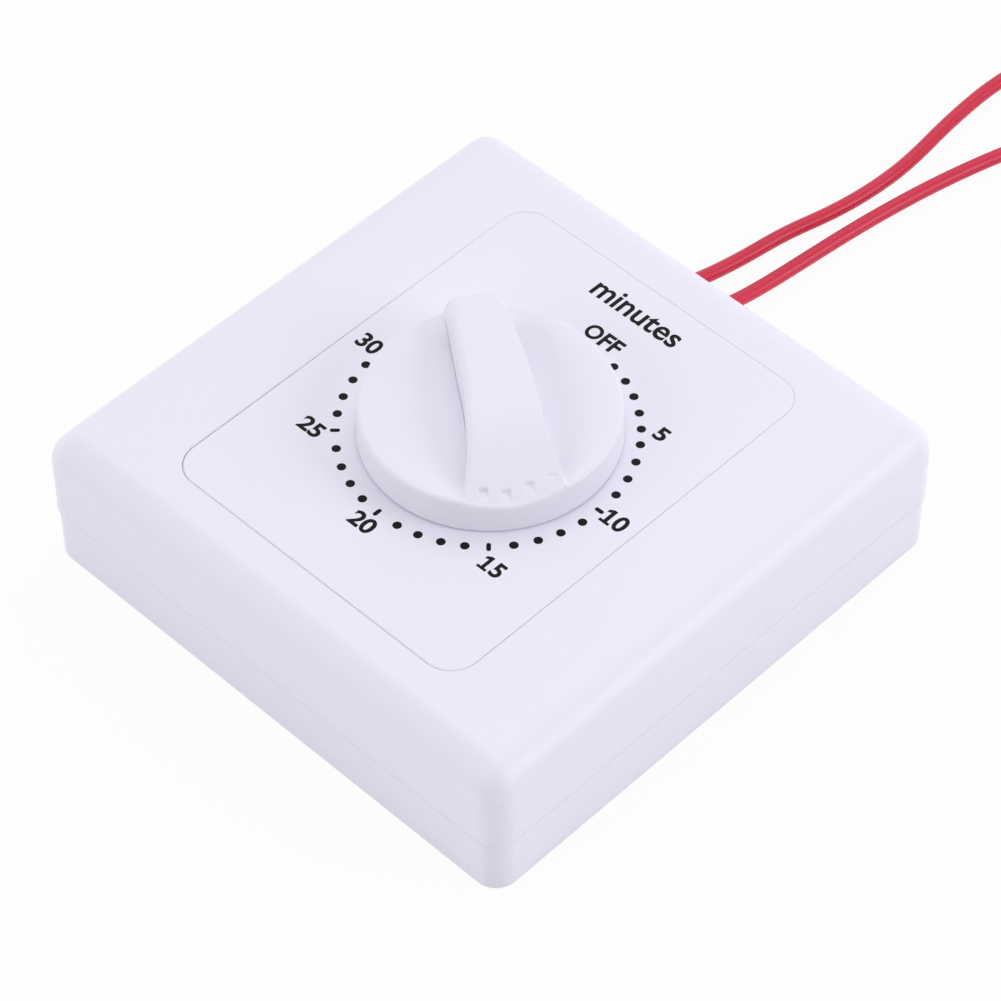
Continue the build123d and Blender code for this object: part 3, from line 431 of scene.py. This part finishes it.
def add_camera():
    right, up, back = look_frame()
    lens = bpy.data.cameras.new("camera")
    lens.lens = CAMERA_LENS
    lens.sensor_width = CAMERA_SENSOR
    lens.clip_end = CAMERA_REACH
    camera = bpy.data.objects.new("camera", lens)
    turned = Matrix((right, up, back)).transposed().to_4x4()
    camera.matrix_world = Matrix.Translation(place(CAMERA_PLACE)) @ turned
    bpy.context.scene.collection.objects.link(camera)
    bpy.context.scene.camera = camera


add_camera()


def link_object(name, data):
    made = bpy.data.objects.new(name, data)
    bpy.context.scene.collection.objects.link(made)
    return made


def add_lead(name, route, node):
    """Round lead on a smooth line through the bends of its route."""
    curve = bpy.data.curves.new(name, "CURVE")
    curve.dimensions = "3D"
    spline = curve.splines.new("NURBS")
    spline.points.add(len(route) - 1)
    for point, target in zip(spline.points, route):
        point.co = (*place(target), 1.0)
    spline.order_u = 3
    spline.use_endpoint_u = True
    spline.resolution_u = LEAD_STEPS
    curve.bevel_depth = LEAD_RADIUS * MM
    curve.bevel_resolution = LEAD_ROUNDNESS
    curve.use_fill_caps = True
    curve.materials.append(red_pvc)
    lead = link_object(name, curve)
    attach(lead, "casing")
    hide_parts(node)


add_lead("supply_lead_sleeve", SUPPLY_ROUTE, "supply_lead")
add_lead("load_lead_sleeve", LOAD_ROUTE, "load_lead")


# Dial print, on the face panel

PANEL_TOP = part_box("face_panel")[1].z


def plain_mesh(holder):
    """Result of an object's modifiers as a plain mesh, with the modifiers gone."""
    graph = bpy.context.evaluated_depsgraph_get()
    mesh = bpy.data.meshes.new_from_object(holder.evaluated_get(graph), depsgraph=graph)
    mesh.name = holder.name
    old = holder.data
    holder.modifiers.clear()
    holder.data = mesh
    bpy.data.meshes.remove(old)
    return holder


def marks_tree():
    """Geometry nodes that print a dot on each point, or a short radial tick where the point asks for one."""
    tree = bpy.data.node_groups.new("dial_marks", "GeometryNodeTree")
    sockets = (
        ("Geometry", "NodeSocketGeometry"), ("Dot Radius", "NodeSocketFloat"),
        ("Tick Radius", "NodeSocketFloat"), ("Tick Stretch", "NodeSocketFloat"),
        ("Thickness", "NodeSocketFloat"), ("Ink", "NodeSocketMaterial"),
    )
    for name, kind in sockets:
        tree.interface.new_socket(name, in_out="INPUT", socket_type=kind)
    tree.interface.new_socket("Geometry", in_out="OUTPUT", socket_type="NodeSocketGeometry")
    given = add_node(tree, "NodeGroupInput").outputs

    where = add_node(tree, "GeometryNodeInputPosition").outputs["Position"]
    parts = add_node(tree, "ShaderNodeSeparateXYZ", {"Vector": where}).outputs
    angle = add_node(tree, "ShaderNodeMath", {0: parts["Y"], 1: parts["X"]}, operation="ARCTAN2").outputs[0]
    facing = add_node(tree, "ShaderNodeCombineXYZ", {"Z": angle}).outputs["Vector"]
    ticked = add_node(
        tree, "GeometryNodeInputNamedAttribute", {"Name": "is_tick"}, data_type="BOOLEAN"
    ).outputs["Attribute"]
    dotted = add_node(tree, "FunctionNodeBooleanMath", {0: ticked}, operation="NOT").outputs[0]

    dot = add_node(
        tree, "GeometryNodeMeshCylinder",
        {"Vertices": DOT_SIDES, "Radius": given["Dot Radius"], "Depth": given["Thickness"]},
    ).outputs["Mesh"]
    small = add_node(
        tree, "GeometryNodeMeshCylinder",
        {"Vertices": TICK_SIDES, "Radius": given["Tick Radius"], "Depth": given["Thickness"]},
    ).outputs["Mesh"]
    end = add_node(tree, "ShaderNodeMath", {0: parts["X"]}, operation="SIGN").outputs[0]
    pull = add_node(
        tree, "ShaderNodeMath", {0: end, 1: given["Tick Stretch"]}, operation="MULTIPLY"
    ).outputs[0]
    pulled = add_node(tree, "ShaderNodeCombineXYZ", {"X": pull}).outputs["Vector"]
    tick = add_node(
        tree, "GeometryNodeSetPosition", {"Geometry": small, "Offset": pulled}
    ).outputs["Geometry"]
    dots = add_node(
        tree, "GeometryNodeInstanceOnPoints",
        {"Points": given["Geometry"], "Selection": dotted, "Instance": dot},
    ).outputs["Instances"]
    ticks = add_node(
        tree, "GeometryNodeInstanceOnPoints",
        {"Points": given["Geometry"], "Selection": ticked, "Instance": tick, "Rotation": facing},
    ).outputs["Instances"]
    joined = add_node(tree, "GeometryNodeJoinGeometry")
    tree.links.new(dots, joined.inputs["Geometry"])
    tree.links.new(ticks, joined.inputs["Geometry"])
    real = add_node(tree, "GeometryNodeRealizeInstances", {"Geometry": joined.outputs["Geometry"]})
    inked = add_node(
        tree, "GeometryNodeSetMaterial", {"Geometry": real.outputs["Geometry"], "Material": given["Ink"]}
    )
    add_node(tree, "NodeGroupOutput", {"Geometry": inked.outputs["Geometry"]})
    return tree


def add_dial_marks():
    minute_angle = DIAL_SWEEP / (len(MARK_DRIFT) + 1)
    points = []
    for minute, drift in enumerate(MARK_DRIFT, 1):
        angle = math.radians(90 - minute_angle * minute + drift)
        points.append(place((DOT_CIRCLE * math.cos(angle), DOT_CIRCLE * math.sin(angle), 0)))
    mesh = bpy.data.meshes.new("dial_minute_marks")
    mesh.from_pydata(points, [], [])
    ticked = mesh.attributes.new("is_tick", "BOOLEAN", "POINT")
    for minute in TICK_MINUTES:
        ticked.data[minute - 1].value = True
    holder = link_object("dial_minute_marks", mesh)
    modifier = holder.modifiers.new("marks", "NODES")
    modifier.node_group = marks_tree()
    values = {
        "Dot Radius": DOT_RADIUS * MM, "Tick Radius": TICK_WIDTH / 2 * MM,
        "Tick Stretch": (TICK_LENGTH - TICK_WIDTH) / 2 * MM, "Thickness": PRINT_THICKNESS * MM, "Ink": ink,
    }
    for item in modifier.node_group.interface.items_tree:
        if item.in_out == "INPUT" and item.name in values:
            modifier[item.identifier] = values[item.name]
    plain_mesh(holder)
    middle = place((*PRINT_CENTRE, 0)) + Vector((0, 0, PANEL_TOP))
    holder.data.transform(Matrix.Translation(middle))
    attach(holder, "casing")


def letter_curve(name, text, height, swell):
    """Flat outline of printed letters this high, or of a 1; swell makes the strokes thicker."""
    if text != "1":
        letters = bpy.data.curves.new(name, "FONT")
        letters.body = text
        letters.size = height * MM / CAPITAL_SHARE
        letters.offset = swell * MM
        return letters
    letters = bpy.data.curves.new(name, "CURVE")
    letters.dimensions = "2D"
    letters.fill_mode = "BOTH"
    spline = letters.splines.new("POLY")
    spline.points.add(len(FIGURE_ONE) - 1)
    for point, corner in zip(spline.points, FIGURE_ONE):
        point.co = (*place((*corner, 0)), 1.0)
    spline.use_cyclic_u = True
    return letters


def add_words(name, words, swell):
    """Printed letters, each text drawn to its size about its place from the middle of the dial."""
    build = bmesh.new()
    for text, x, y, width, height in words:
        letters = letter_curve(name, text, height, swell)
        letters.extrude = PRINT_THICKNESS * MM / 2
        holder = link_object(name, letters)
        graph = bpy.context.evaluated_depsgraph_get()
        mesh = bpy.data.meshes.new_from_object(holder.evaluated_get(graph), depsgraph=graph)
        low, high = [
            Vector([pick(v.co[i] for v in mesh.vertices) for i in (0, 1)] + [0]) for pick in (min, max)
        ]
        size = Matrix.Diagonal((width * MM / (high - low).x, height * MM / (high - low).y, 1, 1))
        target = place((PRINT_CENTRE[0] + x, PRINT_CENTRE[1] + y, 0)) + Vector((0, 0, PANEL_TOP))
        mesh.transform(Matrix.Translation(target) @ size @ Matrix.Translation(-(low + high) / 2))
        bpy.data.objects.remove(holder)
        bpy.data.curves.remove(letters)
        build.from_mesh(mesh)
    bmesh.ops.remove_doubles(build, verts=build.verts, dist=LETTER_MERGE * MM)
    bmesh.ops.recalc_face_normals(build, faces=build.faces)
    joined = bpy.data.meshes.new(name)
    build.to_mesh(joined)
    build.free()
    joined.materials.append(ink)
    made = link_object(name, joined)
    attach(made, "casing")


def ease(value, low, high):
    share = min(max((value - low) / (high - low), 0.0), 1.0)
    return share * share * (3 - 2 * share)


def rounded_loop(half_x, half_y, corner, heights):
    """Points round a rectangle with round corners; heights gives z at a place."""
    turns = np.linspace(0, math.pi / 2, CORNER_STEPS + 1)
    loop = []
    for quarter, (side_x, side_y) in enumerate([(1, 1), (-1, 1), (-1, -1), (1, -1)]):
        for turn in turns + quarter * math.pi / 2:
            x = side_x * (half_x - corner) + corner * math.cos(turn)
            y = side_y * (half_y - corner) + corner * math.sin(turn)
            loop.append((x, y, heights(x, y)))
    return loop


def add_band(name, loops, material):
    """Closed ring through four loops: inside low, inside high, outside high, outside low."""
    build = bmesh.new()
    rows = [[build.verts.new(place(point)) for point in loop] for loop in loops]
    count = len(rows[0])
    for k, row in enumerate(rows):
        following = rows[(k + 1) % len(rows)]
        for i in range(count):
            build.faces.new((row[i], row[(i + 1) % count], following[(i + 1) % count], following[i]))
    bmesh.ops.recalc_face_normals(build, faces=build.faces)
    mesh = bpy.data.meshes.new(name)
    build.to_mesh(mesh)
    build.free()
    mesh.materials.append(material)
    made = link_object(name, mesh)
    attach(made, "casing")


def joint_loop(grow, low):
    """Loop this far outside the panel, at the floor of the joint round it or lower."""
    half = [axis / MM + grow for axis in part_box("face_panel")[1][:2]]
    level = PANEL_TOP / MM - low

    def height(x, y):
        return level - JOINT_DEPTH_FAR - (JOINT_DEPTH_NEAR - JOINT_DEPTH_FAR) * ease(x - y, *JOINT_FADE)

    return rounded_loop(*half, PANEL_CORNER + grow, height)


def seam_loop(grow, level):
    return rounded_loop(CASE_HALF + grow, CASE_HALF + grow, CASE_CORNER + grow, lambda x, y: level)


def add_case_lines():
    """Floor of the joint round the panel, and the fine flash where cover and box meet."""
    outer = JOINT_WIDTH - JOINT_CLEARANCE
    add_band("panel_joint", [
        joint_loop(-JOINT_TUCK, JOINT_THICKNESS), joint_loop(-JOINT_TUCK, 0),
        joint_loop(outer, 0), joint_loop(outer, JOINT_THICKNESS),
    ], panel_abs)
    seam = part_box("front_cover")[0].z / MM
    add_band("case_flash", [
        seam_loop(-FLASH_DEPTH, seam - FLASH_HEIGHT / 2), seam_loop(-FLASH_DEPTH, seam + FLASH_HEIGHT / 2),
        seam_loop(FLASH_REACH, seam + FLASH_HEIGHT / 2), seam_loop(FLASH_REACH, seam - FLASH_HEIGHT / 2),
    ], case_abs)


add_case_lines()
add_dial_marks()
add_words("dial_numerals", NUMERALS, NUMERAL_SWELL)
add_words("dial_unit", UNIT, UNIT_SWELL)


# Knob, in one moulding

def softer_minimum(first, second, softness):
    """Lower of the two, with the corner where they cross rounded."""
    share = min(max(0.5 + 0.5 * (second - first) / softness, 0.0), 1.0)
    return second * (1 - share) + first * share - softness * share * (1 - share)


def along_grip(t, table):
    """Value of a table at this place along the grip, with its kinks smoothed."""
    values = [float(np.interp(t + step, GRIP_STATIONS, table)) for step in GRIP_SMOOTHING]
    return sum(values) / len(values)


def grip_foot(t, mirror):
    return along_grip(t, GRIP_RIGHT_FOOT if mirror else GRIP_LEFT_FOOT)


def grip_edge(t, mirror):
    return along_grip(t, GRIP_RIGHT_TOP if mirror else GRIP_LEFT_TOP)


def disc_height(t):
    """Face of the knob, a little higher towards the far end of the grip."""
    return KNOB_RIM + FAR_RISE * ease(-t, FAR_RISE_FROM, FAR_RISE_TO)


def dish(t, step):
    """Dip of the face, this share of the way from the rim to the grip."""
    fade = 1 - ease(abs(t), DISH_FADE_FROM, DISH_FADE_TO)
    return DISH_DEPTH * fade * max((step - DISH_FROM_SHARE) / (1 - DISH_FROM_SHARE), 0.0) ** 2


def grip_height(t, s):
    """Top of the grip: level, then ever steeper down past the rim, with notches in the toe."""
    run = max(t - GRIP_BEND, 0.0)
    length = GRIP_TOE - GRIP_BEND
    curve = (GRIP_TOP - GRIP_TOE_HEIGHT - GRIP_NOSE_SLOPE * length) / length ** 2
    nose = GRIP_TOP - GRIP_NOSE_SLOPE * (t - GRIP_BEND) - curve * run ** 2
    height = softer_minimum(GRIP_TOP, nose, GRIP_BEND_SOFTNESS)
    height -= GRIP_END_DIP * ease(-t, GRIP_DIP_FROM, GRIP_DIP_TO)
    for mark_t, mark_s, depth in TOE_MARKS:
        inside = 1 - ease(abs(s - mark_s), TOE_MARK_WIDTH / 2 - TOE_MARK_EDGE, TOE_MARK_WIDTH / 2)
        inside *= ease(t, mark_t, mark_t + TOE_MARK_EDGE)
        height -= depth * inside * min(max(1 - (t - mark_t) / TOE_MARK_LENGTH, 0.0), 1.0)
    return height


def edge_radius(height):
    """Radius of the drafted skirt at this height, carried on up the grip's far end."""
    draft = (KNOB_BASE_RADIUS - KNOB_TOP_RADIUS) / (KNOB_RIM - KNOB_BOTTOM)
    return KNOB_BASE_RADIUS - draft * (height - KNOB_BOTTOM)


def edge_round(height):
    """Round of the edge that ends at this height, larger at the end of the grip than along the rim."""
    return KNOB_RIM_ROUND + (GRIP_END_ROUND - KNOB_RIM_ROUND) * ease(
        height, KNOB_RIM + END_ROUND_MARGIN, GRIP_TOP - END_ROUND_MARGIN
    )


def row_place(share, s, height):
    """Place along the grip of a row that bends to follow the rim at both ends."""
    inner = edge_radius(height) - edge_round(height)
    return math.sqrt(max(inner ** 2 - s ** 2, 0)) * (2 * share - 1)


def grip_row(share, mirror):
    """Half of a row across the grip, from its foot up the wall, round the edge and in to the middle."""
    t = row_place(share, 0, KNOB_RIM)
    for _ in range(FOOT_PASSES):
        foot = grip_foot(t, mirror)
        t = row_place(share, foot, disc_height(t))
    foot_height = disc_height(t) - dish(t, 1.0)
    edge = grip_edge(t, mirror)
    middle = (grip_edge(t, True) + grip_edge(t, False)) / 2
    crest = grip_height(t, edge)
    start = np.array([foot, foot_height])
    corner = np.array([edge, crest])
    wall = start - corner
    length = max(float(np.hypot(*wall)), SMALLEST_WALL)
    bite = min(GRIP_EDGE_ROUNDS[mirror], GRIP_ROUND_SHARE * length)
    into = corner + wall * bite / length
    out = corner + np.array([math.copysign(bite, middle - edge), 0.0])
    points = [start + (into - start) * step for step in np.linspace(0, 1, GRIP_WALL_COLUMNS + 1)]
    for step in np.linspace(0, 1, GRIP_ROUND_COLUMNS + 1)[1:]:
        points.append(into * (1 - step) ** 2 + corner * 2 * step * (1 - step) + out * step ** 2)
    for step in np.linspace(0, 1, GRIP_TOP_COLUMNS // 2 + 1)[1:]:
        points.append(out * (1 - step) + np.array([middle, crest]) * step)
    placed = []
    for s, height in points:
        along = row_place(share, s, height)
        flat = abs(crest - foot_height) <= SMALLEST_RISE
        rise = 1.0 if flat else (height - foot_height) / (crest - foot_height)
        lift = grip_height(along, s) - grip_height(t, edge)
        placed.append((along, s, height + lift * min(max(rise, 0.0), 1.0)))
    if not mirror:
        along, s, height = placed[0]
        open_share = (1 - ease(along, *CREASE_FADE)) * (1 - ease(-along, *CREASE_END))
        placed[0] = (along, s, height - CREASE_DEPTH * open_share)
    return placed


def knob_shares():
    """Rows along the grip, closer together at both ends."""
    even = np.linspace(0, 1, KNOB_ROWS + 1)
    return 0.5 - 0.5 * np.cos(math.pi * even) * ROW_CROWDING + (even - 0.5) * (1 - ROW_CROWDING)


def knob_grid():
    """Columns across the whole knob for every row: disc, grip, disc."""
    steps = 1 - (1 - np.linspace(0, 1, DISC_COLUMNS + 1)) ** DISC_CROWDING
    rows = []
    for share in knob_shares():
        halves = []
        for mirror in (False, True):
            grip = grip_row(share, mirror)
            rim = rim_point(share, mirror)
            run = []
            for step in steps[:-1]:
                t, s = rim[:2] * (1 - step) + np.array(grip[0][:2]) * step
                run.append((t, s, disc_height(t) - dish(t, step)))
            halves.append(run + grip)
        rows.append(halves[0] + halves[1][::-1][1:])
    return rows


def corner_angles(mirror):
    """Angles at which a foot of the grip meets the rim, at the far end and at the nose."""
    far, nose = grip_row(0.0, mirror)[0], grip_row(1.0, mirror)[0]
    return math.atan2(far[1], far[0]), math.atan2(nose[1], nose[0])


def rim_point(share, mirror):
    far, nose = CORNERS[mirror]
    angle = far + (nose - far) * share
    height = disc_height(KNOB_TOP_RADIUS * math.cos(angle))
    inner = edge_radius(height) - edge_round(height)
    return np.array([inner * math.cos(angle), inner * math.sin(angle), height])


CORNERS = {mirror: corner_angles(mirror) for mirror in (False, True)}


def knob_loops(rim):
    """Loops from the rim round its edge, down the skirt, under it and up into the hub."""
    angles = [math.atan2(s, t) for t, s, _ in rim]
    inner = [math.hypot(t, s) for t, s, _ in rim]
    loops = []
    for step in np.linspace(0, math.pi / 2, RIM_STEPS + 1)[1:]:
        loops.append([
            (r + edge_round(z) * math.sin(step), z - edge_round(z) * (1 - math.cos(step)))
            for r, (_, _, z) in zip(inner, rim)
        ])
    base = KNOB_BOTTOM + KNOB_FOOT_ROUND
    for share in np.linspace(0, 1, SKIRT_ROWS + 1)[1:]:
        loops.append([
            (r + (KNOB_BASE_RADIUS - r) * share, z + (base - z) * share) for r, z in loops[RIM_STEPS - 1]
        ])
    for step in FOOT_TURNS:
        turn = math.radians(step)
        loops.append([(
            KNOB_BASE_RADIUS - KNOB_FOOT_ROUND * (1 - math.cos(turn)),
            base - KNOB_FOOT_ROUND * math.sin(turn),
        )] * len(rim))
    for radius, height in (
        (KNOB_INNER_RADIUS + KNOB_FOOT_ROUND, KNOB_BOTTOM),
        (KNOB_INNER_RADIUS, KNOB_BOTTOM + KNOB_FOOT_ROUND),
        (KNOB_INNER_RADIUS, KNOB_CEILING), (HUB_RADIUS, KNOB_CEILING), (HUB_RADIUS, HUB_BOTTOM),
        (BORE_RADIUS, HUB_BOTTOM), (BORE_RADIUS, BORE_TOP),
    ):
        loops.append([(radius, height)] * len(rim))
    return [
        [(r * math.cos(a), r * math.sin(a), z) for (r, z), a in zip(loop, angles)] for loop in loops
    ]


def add_knob():
    grid = knob_grid()
    columns = len(grid[0])
    vertices = [point for row in grid for point in row]
    faces = []
    for i in range(len(grid) - 1):
        for j in range(columns - 1):
            a, b = i * columns + j, i * columns + j + 1
            faces.append((a, a + columns, b + columns, b))
    last = len(grid) - 1
    grip_from, grip_to = DISC_COLUMNS, columns - 1 - DISC_COLUMNS
    loop = [0 * columns + j for j in range(grip_from, grip_to)]
    loop += [i * columns + columns - 1 for i in range(last)]
    loop += [last * columns + j for j in range(grip_to, grip_from, -1)]
    loop += [i * columns for i in range(last, 0, -1)]
    ring = list(loop)
    for points in knob_loops([vertices[k] for k in loop]):
        start = len(vertices)
        vertices += points
        fresh = list(range(start, start + len(points)))
        for k in range(len(ring)):
            after = (k + 1) % len(ring)
            faces.append((ring[k], ring[after], fresh[after], fresh[k]))
        ring = fresh
    vertices.append((0, 0, BORE_TOP))
    centre = len(vertices) - 1
    for k in range(len(ring)):
        faces.append((ring[k], ring[(k + 1) % len(ring)], centre))
    mesh = bpy.data.meshes.new("knob_moulding")
    mesh.from_pydata([place(point) for point in vertices], [], faces)
    build = bmesh.new()
    build.from_mesh(mesh)
    bmesh.ops.remove_doubles(build, verts=build.verts, dist=KNOB_MERGE * MM)
    bmesh.ops.dissolve_degenerate(build, edges=build.edges, dist=KNOB_SLIVER * MM)
    bmesh.ops.recalc_face_normals(build, faces=build.faces)
    for face in build.faces:
        face.smooth = True
    build.to_mesh(mesh)
    build.free()
    mesh.transform(Matrix.Rotation(math.radians(KNOB_ANGLE), 4, "Z"))
    mesh.set_sharp_from_angle(angle=math.radians(KNOB_SHARP))
    mesh.materials.append(knob_abs)
    knob = link_object("knob_moulding", mesh)
    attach(knob, "turning_knob")
    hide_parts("knob")


add_knob()


# Floor, light and surroundings

def seen_rays(tree):
    """1 for what the camera sees straight on, in a gleam or through glass, and 0 for what lights
    the object."""
    rays = add_node(tree, "ShaderNodeLightPath").outputs
    glossy = add_node(
        tree, "ShaderNodeMath", {0: rays["Is Camera Ray"], 1: rays["Is Glossy Ray"]}, operation="MAXIMUM"
    )
    return add_node(
        tree, "ShaderNodeMath", {0: glossy.outputs[0], 1: rays["Is Transmission Ray"]}, operation="MAXIMUM"
    ).outputs[0]


def floor_finish():
    """Matt white paper that the camera sees nearly white, with the shadow still on it."""
    material, tree, shader, where = new_material("white_paper_floor")
    shader.inputs["Base Color"].default_value = linear("#f2f2f4")
    fibre = noise(tree, where, PAPER_PATCH)
    tree.links.new(spread(tree, fibre, 0.3, 0.7, 0.85, 0.95), shader.inputs["Roughness"])
    seen = add_node(tree, "ShaderNodeEmission", {"Color": (1, 1, 1, 1), "Strength": 1.0})
    share = add_node(tree, "ShaderNodeMath", {0: seen_rays(tree), 1: FLOOR_SEEN_SHARE}, operation="MULTIPLY")
    mixed = add_node(tree, "ShaderNodeMixShader", {"Fac": share.outputs[0]})
    tree.links.new(shader.outputs["BSDF"], mixed.inputs[1])
    tree.links.new(seen.outputs["Emission"], mixed.inputs[2])
    output = next(n for n in tree.nodes if n.type == "OUTPUT_MATERIAL")
    tree.links.new(mixed.outputs["Shader"], output.inputs["Surface"])
    return material


def add_floor():
    build = bmesh.new()
    corners = [(-1, -1), (1, -1), (1, 1), (-1, 1)]
    build.faces.new([build.verts.new(place((x * FLOOR_HALF, y * FLOOR_HALF, 0))) for x, y in corners])
    mesh = bpy.data.meshes.new("floor")
    build.to_mesh(mesh)
    build.free()
    mesh.materials.append(floor_finish())
    link_object("floor", mesh)


def add_lamp(name, at, aim, size, power):
    data = bpy.data.lights.new(name, "AREA")
    data.shape = "DISK"
    data.size = size * MM
    data.energy = power
    data.color = linear(STUDIO_WHITE)[:3]
    lamp = link_object(name, data)
    direction = place(aim) - place(at)
    facing = direction.to_track_quat("-Z", "Y").to_matrix().to_4x4()
    lamp.matrix_world = Matrix.Translation(place(at)) @ facing


def add_surroundings():
    world = bpy.data.worlds.new("studio")
    bpy.context.scene.world = world
    world.use_nodes = True
    tree = world.node_tree
    tree.nodes.clear()
    way = add_node(tree, "ShaderNodeTexCoord").outputs["Generated"]
    facing = add_node(tree, "ShaderNodeVectorMath", {0: way, 1: WORLD_BRIGHT_SIDE}, operation="DOT_PRODUCT")
    level = add_node(
        tree, "ShaderNodeMapRange",
        {"Value": facing.outputs["Value"], "From Min": -1.0, "From Max": 1.0,
         "To Min": WORLD_DIM, "To Max": WORLD_BRIGHT},
    )
    soft = add_node(
        tree, "ShaderNodeBackground", {"Color": linear(STUDIO_WHITE), "Strength": level.outputs["Result"]}
    )
    white = add_node(tree, "ShaderNodeBackground", {"Color": (1, 1, 1, 1), "Strength": 1.0})
    mixed = add_node(
        tree, "ShaderNodeMixShader",
        {"Fac": seen_rays(tree), 1: soft.outputs["Background"], 2: white.outputs["Background"]},
    )
    output = add_node(tree, "ShaderNodeOutputWorld")
    tree.links.new(mixed.outputs["Shader"], output.inputs["Surface"])


add_floor()
add_surroundings()
for lamp in LAMPS:
    add_lamp(*lamp)

scene = bpy.context.scene
scene.view_settings.view_transform = "Standard"
